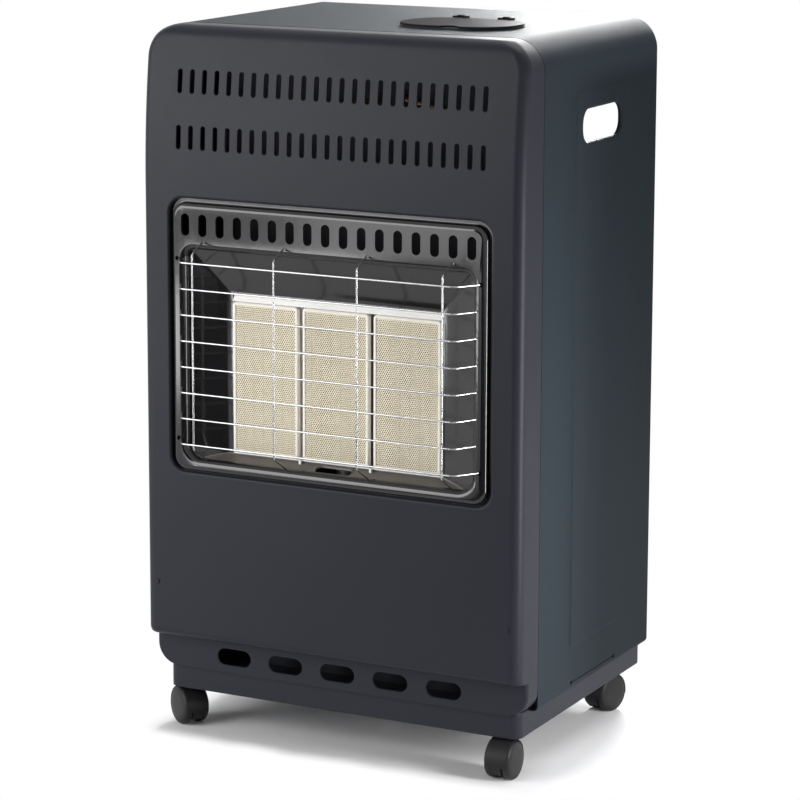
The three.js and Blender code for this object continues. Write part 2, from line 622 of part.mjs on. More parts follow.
function buildRearCover(parent) {
  const low = BASE_TOP_Z + FIT;
  const y0 = CABINET_REAR_Y + FIT;
  const height = REAR_COVER_TOP_Z - low;
  const z = (REAR_COVER_TOP_Z + low) / 2;
  const pan = (inset) => roundedRect(REAR_COVER_W - 2 * inset, height - 2 * inset,
    REAR_COVER_R - inset, 0, z);
  let cover = prismBack(pan(0), y0, BASE_REAR_Y)
    .subtract(prismBack(pan(REAR_COVER_SHEET), y0 - 1, BASE_REAR_Y - REAR_COVER_SHEET));
  const slots = REAR_SLOT_ROWS_Z.flatMap((rowZ) => spread(6, REAR_SLOT_ROW_W)
    .map((x) => prismBack(roundedRect(REAR_SLOT_W, 8, 2.6, x, rowZ, 1), y0, BASE_REAR_Y + 1)));
  const grip = prismBack(roundedRect(GRIP_W, GRIP_H, GRIP_H / 2 - 0.1, 0, REAR_COVER_TOP_Z - 34),
    y0, BASE_REAR_Y + 1);
  cover = cover.subtract(joined([...slots, grip]));
  mesh('rear_cover', cover, CHARCOAL, parent);
}

function buildCoverScrews(parent) {
  for (const [name, x] of [['cover_screw_left', -1], ['cover_screw_right', 1]]) {
    const at = [x * (HALF - 13.5), -FIT - 0.9, 160];
    mesh(name, bar(2.6, 0.9, at, 'y', 12), STEEL, parent);
  }
}

// ---------------------------------------------------------------- radiant front
function surroundOutline(inset) {
  return roundedRect(SURROUND_W - 2 * inset, SURROUND_HIGH_Z - SURROUND_LOW_Z - 2 * inset,
    SURROUND_R - inset, 0, (SURROUND_HIGH_Z + SURROUND_LOW_Z) / 2);
}

function windowOutline(extra) {
  return roundedRect(WINDOW_W + 2 * extra, WINDOW_HIGH_Z - WINDOW_LOW_Z + 2 * extra,
    WINDOW_R + extra, 0, (WINDOW_HIGH_Z + WINDOW_LOW_Z) / 2);
}

function buildSurround(parent) {
  const flangeY = OPENING_LIP + FIT;
  const rearY = flangeY + SHEET;
  const skin = (inset, end) => {
    let lump = prismBack(surroundOutline(inset), SURROUND_Y + SURROUND_EDGE_R, end);
    for (const [a, b] of [[0, 35], [35, 65], [65, 90]]) {
      const y = (d) => SURROUND_Y + inset
        + (SURROUND_EDGE_R - inset) * (1 - Math.sin(THREE.MathUtils.degToRad(d)));
      const shrink = (SURROUND_EDGE_R - inset) * (1 - Math.cos(THREE.MathUtils.degToRad(b)));
      lump = lump.add(prismBack(surroundOutline(inset + shrink), y(b), y(a) + 0.01));
    }
    return lump;
  };
  const flange = prismBack(openingOutline(9), flangeY, rearY);
  const innerWall = prismBack(windowOutline(SHEET), SURROUND_Y + 0.5, REFLECTOR_FRONT_Y - FIT);
  let surround = skin(0, rearY).add(flange)
    .subtract(skin(SHEET, rearY + 5))
    .add(innerWall)
    .subtract(prismBack(windowOutline(0), SURROUND_Y - 3, rearY + 5));
  const slots = spread(COOLING_COUNT, COOLING_ROW_W)
    .map((x) => uprightSlot(x, COOLING_Z, COOLING_W, COOLING_H, SURROUND_Y - 3, SURROUND_Y + 6));
  const hooks = [-HOOK_X, HOOK_X].flatMap((x) => [0, GUARD_ROWS - 1]
    .map((row) => bar(HOOK_HOLE / 2, 8, [x, SURROUND_Y - 3, guardZ(row)], 'y', 10)));
  mesh('burner_surround', surround.subtract(joined([...slots, ...hooks])), ENAMEL, parent);
}

function buildReflector(parent) {
  const rearHalf = (PLAQUE_W + 2 * PLAQUE_PITCH) / 2 + BURNER_FRAME_EDGE + REFLECTOR_SHEET + FIT;
  const y0 = REFLECTOR_FRONT_Y;
  const y1 = REFLECTOR_REAR_Y;
  const front = [WINDOW_W / 2 + 2.2, WINDOW_LOW_Z - 1, WINDOW_HIGH_Z + 2.2];
  const rear = [rearHalf, REFLECTOR_REAR_LOW_Z, REFLECTOR_REAR_HIGH_Z];
  // Rings run from the front plane backwards, so the stack is lofted up and laid back.
  const ring = (depth, [half, low, high], inset) => ({
    z: depth,
    points: [[-half + inset, -high + inset], [half - inset, -high + inset],
      [half - inset, -low - inset], [-half + inset, -low - inset]],
  });
  const layBack = (solid) => solid.rotate([-90, 0, 0]);
  const outer = layBack(loftUp([ring(y0, front, 0), ring(y1, rear, 0)]));
  const at = (y) => front.map((v, i) => v + (rear[i] - v) * (y - y0) / (y1 - y0));
  const inner = layBack(loftUp([
    ring(y0 - 1, at(y0 - 1), REFLECTOR_SHEET), ring(y1 + 1, at(y1 + 1), REFLECTOR_SHEET)]));
  const pilotPort = prismUp(roundedRect(PORT_W, PORT_D, PORT_D / 2 - 0.1, PILOT_X, PILOT_Y),
    REFLECTOR_REAR_LOW_Z - 10, REFLECTOR_REAR_LOW_Z + 6);
  mesh('reflector_box', outer.subtract(inner).subtract(pilotPort), REFLECTOR, parent);
}

const plaqueX = [-PLAQUE_PITCH, 0, PLAQUE_PITCH];
const plaqueNames = ['left', 'centre', 'right'];
const guardZ = (row) => GUARD_LOW_Z + row * GUARD_PITCH;

function buildBurner(parent) {
  const middleZ = (PLAQUE_LOW_Z + PLAQUE_HIGH_Z) / 2;
  const frameHalf = (PLAQUE_W + 2 * PLAQUE_PITCH) / 2 + BURNER_FRAME_EDGE;
  const rearY = BURNER_FRAME_Y + BURNER_FRAME_T;
  let frame = block(-frameHalf, frameHalf, BURNER_FRAME_Y, rearY,
    PLAQUE_LOW_Z - BURNER_FRAME_FOOT, PLAQUE_HIGH_Z + BURNER_FRAME_HEAD);
  plaqueX.forEach((x, i) => {
    frame = frame.subtract(prismBack(roundedRect(PLAQUE_W + 2 * FIT, PLAQUE_H + 2 * FIT, 3, x,
      middleZ), BURNER_FRAME_Y - 1, rearY + 1));
    const field = roundedRect(PLAQUE_W - 2 * PLAQUE_RIM, PLAQUE_H - 2 * PLAQUE_RIM, 2, x, middleZ);
    const plaque = prismBack(roundedRect(PLAQUE_W, PLAQUE_H, 3, x, middleZ),
      PLAQUE_Y, PLAQUE_Y + PLAQUE_T)
      .subtract(prismBack(field, PLAQUE_Y - 1, PLAQUE_Y + PLAQUE_RECESS));
    mesh(`plaque_${plaqueNames[i]}`, plaque, CERAMIC, parent);
    buildPlenum(parent, plaqueNames[i], x, middleZ);
    buildInjector(parent, plaqueNames[i], x);
  });
  mesh('burner_frame', frame, BURNER_WHITE, parent);
}

function buildPlenum(parent, name, x, middleZ) {
  const half = PLAQUE_W / 2 + PLENUM_EDGE;
  const low = PLAQUE_LOW_Z - PLENUM_EDGE;
  const high = PLAQUE_HIGH_Z + PLENUM_EDGE;
  const rear = PLENUM_Y + PLENUM_D;
  const throatY = PLENUM_Y + PLENUM_D / 2;
  const outline = (inset) => roundedRect(2 * (half - inset), high - low - 2 * inset,
    8 - inset, x, middleZ);
  const wall = 1.2;
  const pan = prismBack(outline(0), PLENUM_Y, rear)
    .add(bar(THROAT_R, low + 4 - THROAT_LOW_Z, [x, throatY, THROAT_LOW_Z], 'z', 12))
    .add(bar(THROAT_R + 4, 6, [x, throatY, THROAT_LOW_Z], 'z', 12, THROAT_R))
    .subtract(prismBack(outline(wall), PLENUM_Y - 1, rear - wall))
    .subtract(bar(THROAT_R - wall, low + 8 - THROAT_LOW_Z, [x, throatY, THROAT_LOW_Z - 1], 'z', 12));
  const feet = [low + 30, high - 30].map((z) => bar(4, SHIELD_Y - FIT - rear + 0.6,
    [x, rear - 0.6, z], 'y', 8));
  mesh(`burner_plenum_${name}`, joined([pan, ...feet]), GALVANISED, parent);
}

function buildInjector(parent, name, x) {
  const low = RAIL_Z + RAIL_R + FIT;
  const injector = bar(INJECTOR_R, INJECTOR_H * 0.55, [x, RAIL_Y, low], 'z', 6)
    .add(bar(INJECTOR_R * 0.75, INJECTOR_H * 0.45, [x, RAIL_Y, low + INJECTOR_H * 0.55 - 0.01],
      'z', 12, INJECTOR_R * 0.35));
  mesh(`injector_${name}`, injector, BRASS, parent);
}

function buildRail(parent) {
  const rail = bar(RAIL_R, 2 * RAIL_HALF, [-RAIL_HALF, RAIL_Y, RAIL_Z], 'x', 12);
  const flats = plaqueX.map((x) => block(x - 8, x + 8, RAIL_Y - 5, RAIL_Y + 5,
    RAIL_Z, RAIL_Z + RAIL_R));
  const feet = [-50, 50].map((x) => block(x - 6, x + 6, RAIL_Y, SHIELD_Y - FIT,
    RAIL_Z - 4, RAIL_Z + 4));
  mesh('gas_rail', joined([rail, ...flats, ...feet]), STEEL, parent);
}

function buildGuard(parent) {
  const wires = [];
  const frontY = GUARD_Y - WIRE_R * 1.7;
  const restY = SURROUND_Y - WIRE_R - FIT;
  for (let row = 0; row < GUARD_ROWS; row += 1) {
    const z = guardZ(row);
    const route = [[-GUARD_END_X, restY, z], [-GUARD_BEND_X, frontY, z],
      [GUARD_BEND_X, frontY, z], [GUARD_END_X, restY, z]];
    if (row === 0 || row === GUARD_ROWS - 1) {
      route[0] = [-HOOK_X + 1.2, restY, z];
      route[3] = [HOOK_X - 1.2, restY, z];
      route.unshift([-HOOK_X, SURROUND_Y + 3, z]);
      route.push([HOOK_X, SURROUND_Y + 3, z]);
    }
    wires.push(tube(route, WIRE_R));
  }
  for (const x of spread(GUARD_UPRIGHTS, GUARD_UPRIGHT_ROW_W)) {
    wires.push(tube([[x, restY, GUARD_FOOT_Z - 1.5], [x, GUARD_Y, GUARD_UPRIGHT_LOW_Z],
      [x, GUARD_Y, GUARD_UPRIGHT_HIGH_Z], [x, restY, GUARD_PEAK_Z]], WIRE_R));
  }
  mesh('guard_grille', joined(wires), CHROME, parent);
}

// ---------------------------------------------------------------- pilot
function buildPilot(parent) {
  const plateTop = PILOT_PLATE_Z + SHEET;
  const sparkX = PILOT_X + PILOT_SIDE;
  const probeX = PILOT_X - PILOT_SIDE;
  const armX = [PILOT_X + 4, sparkX + 10]; // the bracket's arm back to the shield
  const rearY = SHIELD_Y - FIT;
  const hole = (radius, x) => bar(radius + FIT, 10, [x, PILOT_Y, PILOT_PLATE_Z - 4], 'z', 14);
  const bracket = block(probeX - 10, armX[1], 8, 28, PILOT_PLATE_Z, plateTop)
    .add(block(...armX, 8, rearY, PILOT_PLATE_Z, plateTop))
    .add(block(...armX, rearY - SHEET, rearY, PILOT_PLATE_Z - 18, plateTop))
    .subtract(hole(PILOT_R, PILOT_X))
    .subtract(hole(PROBE_R, sparkX))
    .subtract(hole(PROBE_R, probeX));
  mesh('pilot_bracket', bracket, STEEL, parent);
  const head = bar(PILOT_R, 24, [PILOT_X, PILOT_Y, PILOT_PLATE_Z - PILOT_LOW], 'z', 12)
    .add(bar(5, 5, [PILOT_X, PILOT_Y, plateTop + FIT], 'z', 6))
    .subtract(bar(1.6, 12, [PILOT_X, PILOT_Y, PILOT_PLATE_Z + 10], 'z', 10));
  mesh('pilot_burner', head, BRASS, parent);
  const low = PILOT_PLATE_Z - PROBE_LOW;
  const post = bar(PROBE_R, 17, [sparkX, PILOT_Y, low], 'z', 12)
    .add(bar(0.9, 5, [sparkX, PILOT_Y, low + 16.9], 'z', 8));
  mesh('spark_electrode', post, WHITE_CERAMIC, parent);
  const probe = bar(PROBE_R, 9, [probeX, PILOT_Y, low], 'z', 12)
    .add(bar(1.3, 12, [probeX, PILOT_Y, low + 8.9], 'z', 10));
  mesh('thermocouple', probe, COPPER, parent);
}

// ---------------------------------------------------------------- gas controls
function buildControls(parent) {
  buildBezel(parent);
  buildLid(parent);
  buildValve(parent);
  buildKnob(parent);
  buildIgniter(parent);
  buildPipes(parent);
}

function buildBezel(parent) {
  const low = TOP_Z + FIT;
  const rearY = LID_Y + LID_D / 2;
  let bezel = prismUp(ovalOutline(0), low, BEZEL_TOP_Z)
    .add(prismUp(ovalOutline(WELL_RIM), WELL_FLOOR_Z, BEZEL_TOP_Z))
    .subtract(prismUp(ovalOutline(WELL_RIM + WELL_WALL), WELL_FLOOR_Z + WELL_WALL, BEZEL_TOP_Z + 1))
    .subtract(bar(COLLAR_R + COLLAR_CLEARANCE, 10, [KNOB_X, KNOB_Y, WELL_FLOOR_Z - 4], 'z', 14))
    .subtract(bar(BUTTON_R + FIT, 10, [BUTTON_X, KNOB_Y, WELL_FLOOR_Z - 4], 'z', 14));
  for (const x of LID_KNUCKLES_X) {
    for (const side of [-1, 1]) {
      const inner = x + side * (KNUCKLE_W / 2 + FIT);
      const outer = inner + side * EAR_T;
      bezel = bezel.add(block(Math.min(inner, outer), Math.max(inner, outer),
        rearY - 4, LID_AXIS_Y + 3, low, LID_AXIS_Z + 2.2));
    }
    bezel = bezel.subtract(bar(LID_PIN_R + FIT / 2, 30, [x - 15, LID_AXIS_Y, LID_AXIS_Z], 'x', 12));
  }
  mesh('control_bezel', bezel, BLACK_PLASTIC, parent);
}

function buildLid(parent) {
  const rearY = LID_Y + LID_D / 2;
  const high = LID_LOW_Z + LID_T;
  const half = KNUCKLE_W / 2;
  const notch = bar(NOTCH_R, 10, [LID_X + 8, LID_Y - LID_D / 2 - 1.5, LID_LOW_Z - 3], 'z', 20);
  let lid = prismUp(ovalOutline(0.4), LID_LOW_Z, high).subtract(notch);
  for (const x of LID_KNUCKLES_X) {
    const gap = half + EAR_T + 0.8;
    lid = lid
      .subtract(block(x - gap, x + gap, rearY - 4.6, rearY + 2, LID_LOW_Z - 1, high + 1))
      .add(block(x - half, x + half, rearY - 8, LID_AXIS_Y, LID_LOW_Z, high))
      .add(bar(KNUCKLE_R, KNUCKLE_W, [x - half, LID_AXIS_Y, LID_AXIS_Z], 'x', 14))
      .subtract(bar(LID_PIN_R + FIT, KNUCKLE_W + 2, [x - half - 1, LID_AXIS_Y, LID_AXIS_Z], 'x', 12));
  }
  mesh('control_lid', lid, BLACK_PLASTIC, parent);
  LID_KNUCKLES_X.forEach((x, i) => {
    const length = KNUCKLE_W + 2 * (FIT + EAR_T) - 0.4;
    const pin = bar(LID_PIN_R - FIT / 2, length, [x - length / 2, LID_AXIS_Y, LID_AXIS_Z], 'x', 12);
    mesh(`lid_pin_${['left', 'right'][i]}`, pin, STEEL, parent);
  });
}

function buildValve(parent) {
  const plateLow = VALVE_TOP_Z + FIT;
  const plateY = CONTROL_PLATE_D / 2;
  const bracket = block(KNOB_X - KNOB_R - CONTROL_PLATE_EDGE, BUTTON_X + IGNITER_R + CONTROL_PLATE_EDGE,
    KNOB_Y - plateY, KNOB_Y + plateY, plateLow, WELL_FLOOR_Z - FIT)
    .subtract(bar(COLLAR_R + COLLAR_CLEARANCE, 10, [KNOB_X, KNOB_Y, plateLow - 4], 'z', 14))
    .subtract(bar(IGNITER_R + FIT, 10, [BUTTON_X, KNOB_Y, plateLow - 4], 'z', 14));
  mesh('valve_bracket', bracket, STEEL, parent);
  const valve = block(KNOB_X - VALVE_HALF_W, KNOB_X + VALVE_HALF_W, KNOB_Y - VALVE_FRONT,
    KNOB_Y + VALVE_REAR, VALVE_TOP_Z - VALVE_H, VALVE_TOP_Z)
    .add(bar(OUTLET_R, OUTLET_END - VALVE_FRONT + 1, [KNOB_X, KNOB_Y - OUTLET_END, GAS_Z], 'y', 6))
    .add(bar(INLET_R, INLET_END - VALVE_REAR + 1, [KNOB_X, KNOB_Y + VALVE_REAR - 1, GAS_Z], 'y', 6))
    .subtract(bar(COLLAR_R + COLLAR_CLEARANCE, 12, [KNOB_X, KNOB_Y, VALVE_TOP_Z - 6], 'z', 14))
    .subtract(bar(SPINDLE_R + FIT, 24, [KNOB_X, KNOB_Y, VALVE_TOP_Z - 20], 'z', 14));
  mesh('gas_valve', valve, BRASS, parent);
}

function buildKnob(parent) {
  const low = VALVE_TOP_Z - SPINDLE_DEPTH;
  const skirtTop = KNOB_LOW_Z + KNOB_SKIRT_H;
  const bore = (z, length) => bar(SPINDLE_R + FIT, length, [KNOB_X, KNOB_Y, z], 'z', 14);
  mesh('valve_spindle', bar(SPINDLE_R, skirtTop - low, [KNOB_X, KNOB_Y, low], 'z', 14), BRASS,
    parent);
  const collar = bar(COLLAR_R, COLLAR_H, [KNOB_X, KNOB_Y, KNOB_LOW_Z - COLLAR_H - FIT], 'z', 14)
    .subtract(bore(KNOB_LOW_Z - COLLAR_H - 2, COLLAR_H + 2));
  mesh('push_collar', collar, STEEL, parent);
  const reach = KNOB_R - 1.5;
  const knob = bar(KNOB_R, KNOB_SKIRT_H, [KNOB_X, KNOB_Y, KNOB_LOW_Z], 'z', 24, KNOB_R - 1)
    .add(block(KNOB_X - KNOB_GRIP_W / 2, KNOB_X + KNOB_GRIP_W / 2, KNOB_Y - reach, KNOB_Y + reach,
      skirtTop - 2, skirtTop + KNOB_GRIP_H))
    .subtract(bore(KNOB_LOW_Z - 1, KNOB_SKIRT_H + 2));
  mesh('control_knob', knob, BLACK_PLASTIC, parent);
}

function buildIgniter(parent) {
  const floorZ = IGNITER_LOW_Z + IGNITER_BASE;
  const igniter = bar(IGNITER_R, IGNITER_H, [BUTTON_X, KNOB_Y, IGNITER_LOW_Z], 'z', 14)
    .subtract(bar(BUTTON_R + FIT, IGNITER_H, [BUTTON_X, KNOB_Y, floorZ], 'z', 16));
  mesh('piezo_igniter', igniter, BLACK_PLASTIC, parent);
  const button = bar(BUTTON_R, BUTTON_H, [BUTTON_X, KNOB_Y, floorZ + BUTTON_TRAVEL + 1], 'z', 14);
  mesh('piezo_button', button, TYRE_BLACK, parent);
}

function buildPipes(parent) {
  const tailY = KNOB_Y + INLET_END + FIT;
  let tail = bar(6, 10, [KNOB_X, tailY, GAS_Z], 'y', 6)
    .add(bar(NOZZLE_R, 34, [KNOB_X, tailY + 9, GAS_Z], 'y', 10));
  for (let i = 0; i < 4; i += 1) {
    const barbY = tailY + 14 + i * 6.5;
    tail = tail.add(bar(NOZZLE_BARB_R, 5, [KNOB_X, barbY, GAS_Z], 'y', 10, NOZZLE_R + 0.1));
  }
  const bore = bar(NOZZLE_BORE_R, 60, [KNOB_X, tailY - 1, GAS_Z], 'y', 8);
  mesh('inlet_nozzle', tail.subtract(bore), BRASS, parent);

  // Each route runs forwards through the shield, across, down, and up to its own end.
  const gasRoute = [
    [KNOB_X, KNOB_Y - OUTLET_END - FIT, GAS_Z], [KNOB_X, DROP_Y, GAS_Z],
    [GAS_PIPE_X, DROP_Y, GAS_Z - 18], [GAS_PIPE_X, DROP_Y, RAIL_Z],
    [RAIL_HALF + 22, RAIL_Y, RAIL_Z], [RAIL_HALF + FIT, RAIL_Y, RAIL_Z],
  ];
  mesh('gas_pipe', tube(gasRoute, GAS_PIPE_R, 10, 14), COPPER, parent);
  const pilotRoute = [
    [KNOB_X - VALVE_HALF_W - FIT, KNOB_Y, PILOT_OUT_Z], [KNOB_X - PILOT_PIPE_OUT, KNOB_Y, PILOT_OUT_Z],
    [KNOB_X - PILOT_PIPE_OUT, DROP_Y + 2, PILOT_OUT_Z], [PILOT_PIPE_X, DROP_Y + 2, PILOT_OUT_Z - 24],
    [PILOT_PIPE_X, DROP_Y + 2, PIPES_LOW_Z + 10], [PILOT_X, PILOT_Y + 13, PIPES_LOW_Z + 15],
    [PILOT_X, PILOT_Y, PIPES_LOW_Z + 25],
    [PILOT_X, PILOT_Y, PILOT_PLATE_Z - PILOT_LOW - FIT],
  ];
  mesh('pilot_pipe', tube(pilotRoute, PILOT_PIPE_R, 8, 10), COPPER, parent);
  const leadY = DROP_Y + 7.5;
  const sparkX = PILOT_X + PILOT_SIDE;
  const leadRoute = [
    [BUTTON_X, KNOB_Y, IGNITER_LOW_Z - FIT], [BUTTON_X, KNOB_Y, LEAD_OUT_Z + 2],
    [BUTTON_X, leadY, LEAD_OUT_Z], [LEAD_X, leadY, LEAD_OUT_Z - 12],
    [LEAD_X, leadY, PIPES_LOW_Z], [sparkX, PILOT_Y + 13, PIPES_LOW_Z],
    [sparkX, PILOT_Y, PIPES_LOW_Z + 15],
    [sparkX, PILOT_Y, PILOT_PLATE_Z - PROBE_LOW - FIT],
  ];
  mesh('spark_lead', tube(leadRoute, LEAD_R, 8, 10), LEAD_RED, parent);
}

// ---------------------------------------------------------------- castors
function castorPlaces() {
  return [[-CASTOR_X, CASTOR_FRONT_Y], [CASTOR_X, CASTOR_FRONT_Y],
    [-CASTOR_X, CASTOR_REAR_Y], [CASTOR_X, CASTOR_REAR_Y]];
}

const castorNames = ['front_left', 'front_right', 'rear_left', 'rear_right'];
const castorTurns = [-123, 0, 35, -17]; // how each castor happens to stand, degrees

// A castor in its own frame: swivel axis at the origin, axle along x, trailing to -y.
function buildCastor(parent, name) {
  const axleY = -CASTOR_TRAIL;
  const half = CASTOR_W / 2;
  const bodyHalf = half - WHEEL_W - FIT;
  const hoodR = WHEEL_R + HOOD_OVERHANG;
  const lookAcross = (radius, x0, x1, sides = 18) =>
    bar(radius, x1 - x0, [x0, axleY, WHEEL_R], 'x', sides);
  const web = lookAcross(hoodR, -bodyHalf, bodyHalf);
  const rim = lookAcross(hoodR, -half + 2.2, half - 2.2)
    .subtract(lookAcross(WHEEL_R + 0.6, -half, -bodyHalf))
    .subtract(lookAcross(WHEEL_R + 0.6, bodyHalf, half));
  const lowCut = block(-half - 1, half + 1, axleY - 40, axleY + 40, -5, WHEEL_R - 4);
  const webCut = block(-half - 1, half + 1, axleY - 40, axleY + 40, -5, 7);
  const collar = bar(8.5, 7, [0, 0, 2 * WHEEL_R + 0.9], 'z', 14, 7.5);
  const seatZ = BASE_TOP_Z - BASE_SHEET - FIT;
  const stem = bar(STEM_R, BASE_TOP_Z + 2 - HOOD_TOP_Z, [0, 0, HOOD_TOP_Z], 'z', 12)
    .add(bar(9, 2.5, [0, 0, seatZ - 2.5], 'z', 12));
  const hood = rim.subtract(lowCut).add(web.subtract(webCut)).add(collar).add(stem)
    .subtract(lookAcross(AXLE_BORE_R, -half, half, 10));
  mesh(`castor_hood_${name}`, hood, BLACK_PLASTIC, parent);
  mesh(`castor_axle_${name}`, bar(AXLE_R, CASTOR_W - 3, [-half + 1.5, axleY, WHEEL_R], 'x', 10),
    STEEL, parent);
  for (const [side, sign] of [['left', -1], ['right', 1]]) {
    const profile = [[AXLE_BORE_R, 0], [WHEEL_R, 0], [WHEEL_R, WHEEL_W - 2],
      [WHEEL_R - 2, WHEEL_W], [AXLE_BORE_R, WHEEL_W]].map(([r, h]) => new THREE.Vector2(r, h));
    profile.push(profile[0].clone());
    const wheelShape = new THREE.LatheGeometry(profile, 18);
    wheelShape.rotateZ(-Math.PI / 2);
    wheelShape.translate(half - WHEEL_W, axleY, WHEEL_R);
    let wheel = toSolid(wheelShape);
    if (sign < 0) wheel = wheel.mirror([1, 0, 0]);
    mesh(`wheel_${name}_${side}`, wheel, TYRE_BLACK, parent);
  }
}

function buildCastors(parent) {
  castorPlaces().forEach(([x, y], i) => {
    const stand = new THREE.Group();
    stand.position.set(x, y, 0);
    stand.rotation.z = THREE.MathUtils.degToRad(castorTurns[i]);
    buildCastor(stand, castorNames[i]);
    parent.add(stand);
  });
}

// ---------------------------------------------------------------- assembly
const heater = new THREE.Group();
const guardFrontY = GUARD_Y - WIRE_R * 1.7 - WIRE_R;
heater.position.y = -(guardFrontY + BASE_REAR_Y) / 2;
buildCover(heater);
buildCabinet(heater);
buildBase(heater);
buildShield(heater);
buildRearCover(heater);
buildCoverScrews(heater);
buildSurround(heater);
buildReflector(heater);
buildBurner(heater);
buildRail(heater);
buildGuard(heater);
buildPilot(heater);
buildControls(heater);
buildCastors(heater);

const root = new THREE.Group();
root.add(heater);
export default root;
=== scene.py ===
import json
from math import cos, pi, radians, sin, sqrt

import bmesh
import bpy
from mathutils import Matrix, Vector


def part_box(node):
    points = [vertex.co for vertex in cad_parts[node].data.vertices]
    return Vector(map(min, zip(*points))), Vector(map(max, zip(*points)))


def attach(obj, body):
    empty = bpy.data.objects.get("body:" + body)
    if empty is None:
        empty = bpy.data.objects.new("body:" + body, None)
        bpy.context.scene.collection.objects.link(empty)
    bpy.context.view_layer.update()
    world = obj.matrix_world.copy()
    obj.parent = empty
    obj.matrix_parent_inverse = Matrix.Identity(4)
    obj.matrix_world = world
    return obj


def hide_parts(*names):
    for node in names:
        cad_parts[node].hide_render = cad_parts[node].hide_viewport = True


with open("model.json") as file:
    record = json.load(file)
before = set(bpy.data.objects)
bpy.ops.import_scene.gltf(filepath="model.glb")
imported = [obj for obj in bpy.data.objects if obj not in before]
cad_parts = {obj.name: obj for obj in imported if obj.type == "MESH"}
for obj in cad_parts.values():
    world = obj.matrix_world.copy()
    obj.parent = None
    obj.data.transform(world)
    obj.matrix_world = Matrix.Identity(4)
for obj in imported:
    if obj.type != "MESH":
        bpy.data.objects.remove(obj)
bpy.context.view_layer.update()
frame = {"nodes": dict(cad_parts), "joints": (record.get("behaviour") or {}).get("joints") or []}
scene = bpy.context.scene
scene.view_settings.view_transform = "Standard"


# ---- Camera
# The heater is seen from above its right front corner with a long lens, as the photograph is.
camera_data = bpy.data.cameras.new("camera")
camera_data.sensor_width = 36
camera_data.lens = 142.1
camera_data.shift_y = -0.085
camera = bpy.data.objects.new("camera", camera_data)
scene.collection.objects.link(camera)
camera.location = (1.4427, -2.8165, 1.0075)
camera.rotation_euler = (radians(79.314), radians(-0.182), radians(27.12))
scene.camera = camera


# ---- Shader arithmetic
# Every finish below is one Principled shader whose patterns are sums on sockets. A Value is
# one socket that takes part in plain arithmetic, and a Finish is the material that holds it.
class Value:
    """One shader socket that can be added, multiplied and compared."""

    def __init__(self, finish, socket):
        self.finish = finish
        self.socket = socket

    def math(self, operation, *others):
        return self.finish.node("ShaderNodeMath", {"operation": operation}, self, *others)

    def __add__(self, other):
        return self.math("ADD", other)

    __radd__ = __add__

    def __sub__(self, other):
        return self.math("SUBTRACT", other)

    def __rsub__(self, other):
        return self * -1 + other

    def __mul__(self, other):
        return self.math("MULTIPLY", other)

    __rmul__ = __mul__

    def __truediv__(self, other):
        return self.math("DIVIDE", other)

    def __gt__(self, other):
        return self.math("GREATER_THAN", other)

    def __lt__(self, other):
        return self.math("LESS_THAN", other)

    def ramp(self, low, high):
        """0 below low, 1 above high, smooth in between."""
        settings = {"interpolation_type": "SMOOTHSTEP"}
        return self.finish.node("ShaderNodeMapRange", settings, self, low, high, 0.0, 1.0)


class Finish:
    """A material with one Principled shader, built up from Values."""

    def __init__(self, name, colour, roughness, metallic=0.0, **constants):
        self.material = bpy.data.materials.new(name)
        self.material.use_nodes = True
        self.tree = self.material.node_tree
        self.shader = self.tree.nodes["Principled BSDF"]
        self.colour = (*colour, 1)
        self.feed("Base Color", self.colour)
        self.feed("Roughness", roughness)
        self.feed("Metallic", metallic)
        for socket, value in constants.items():
            self.feed(socket.replace("_", " ").title().replace("Ior", "IOR"), value)
        self.place = self.node("ShaderNodeTexCoord", {}, output="Object")

    def node(self, kind, settings, *inputs, output=0):
        made = self.tree.nodes.new(kind)
        for key, value in settings.items():
            setattr(made, key, value)
        for index, value in enumerate(inputs):
            self.plug(made.inputs[index], value)
        return Value(self, made.outputs[output])

    def plug(self, socket, value):
        if isinstance(value, Value):
            self.tree.links.new(value.socket, socket)
        elif value is not None:
            socket.default_value = value

    def feed(self, socket, value):
        self.plug(self.shader.inputs[socket], value)

    def axes(self):
        """The x, y and z of the point that is shaded, in metres."""
        split = self.node("ShaderNodeSeparateXYZ", {}, self.place).socket.node
        return [Value(self, split.outputs[i]) for i in range(3)]

    def noise(self, scale, detail=2.0, stretch=(1, 1, 1)):
        """A cloudy pattern from 0 to 1, with scale lumps to the metre."""
        spot = self.node("ShaderNodeMapping", {}, self.place, None, None, stretch)
        return self.node("ShaderNodeTexNoise", {}, spot, None, scale, detail, 0.55)

    def cells(self, scale, stretch=(1, 1, 1)):
        """The distance to the nearest of scale scattered points to the metre."""
        spot = self.node("ShaderNodeMapping", {}, self.place, None, None, stretch)
        return self.node("ShaderNodeTexVoronoi", {}, spot, None, scale)

    def blend(self, factor, one, other):
        """Colour one where factor is 0 and the other where it is 1."""
        mixer = self.node("ShaderNodeMix", {"data_type": "RGBA"}).socket.node
        for index, value in ((0, factor), (6, one), (7, other)):
            if not isinstance(value, (Value, float)):
                value = (*value, 1) if len(value) == 3 else value
            self.plug(mixer.inputs[index], value)
        return Value(self, mixer.outputs[2])

    def tone(self, amount, pattern):
        """Darkens and lightens the base colour by amount, following a pattern from 0 to 1."""
        darker = tuple(c * (1 - amount) for c in self.colour[:3])
        lighter = tuple(min(c * (1 + amount), 1) for c in self.colour[:3])
        self.feed("Base Color", self.blend(pattern, darker, lighter))

    def relief(self, height, depth):
        """Bumps the surface by depth in metres where height is 1."""
        bump = self.node("ShaderNodeBump", {}).socket.node
        self.plug(bump.inputs["Strength"], 1.0)
        self.plug(bump.inputs["Distance"], depth)
        self.plug(bump.inputs["Height"], height)
        self.feed("Normal", Value(self, bump.outputs[0]))


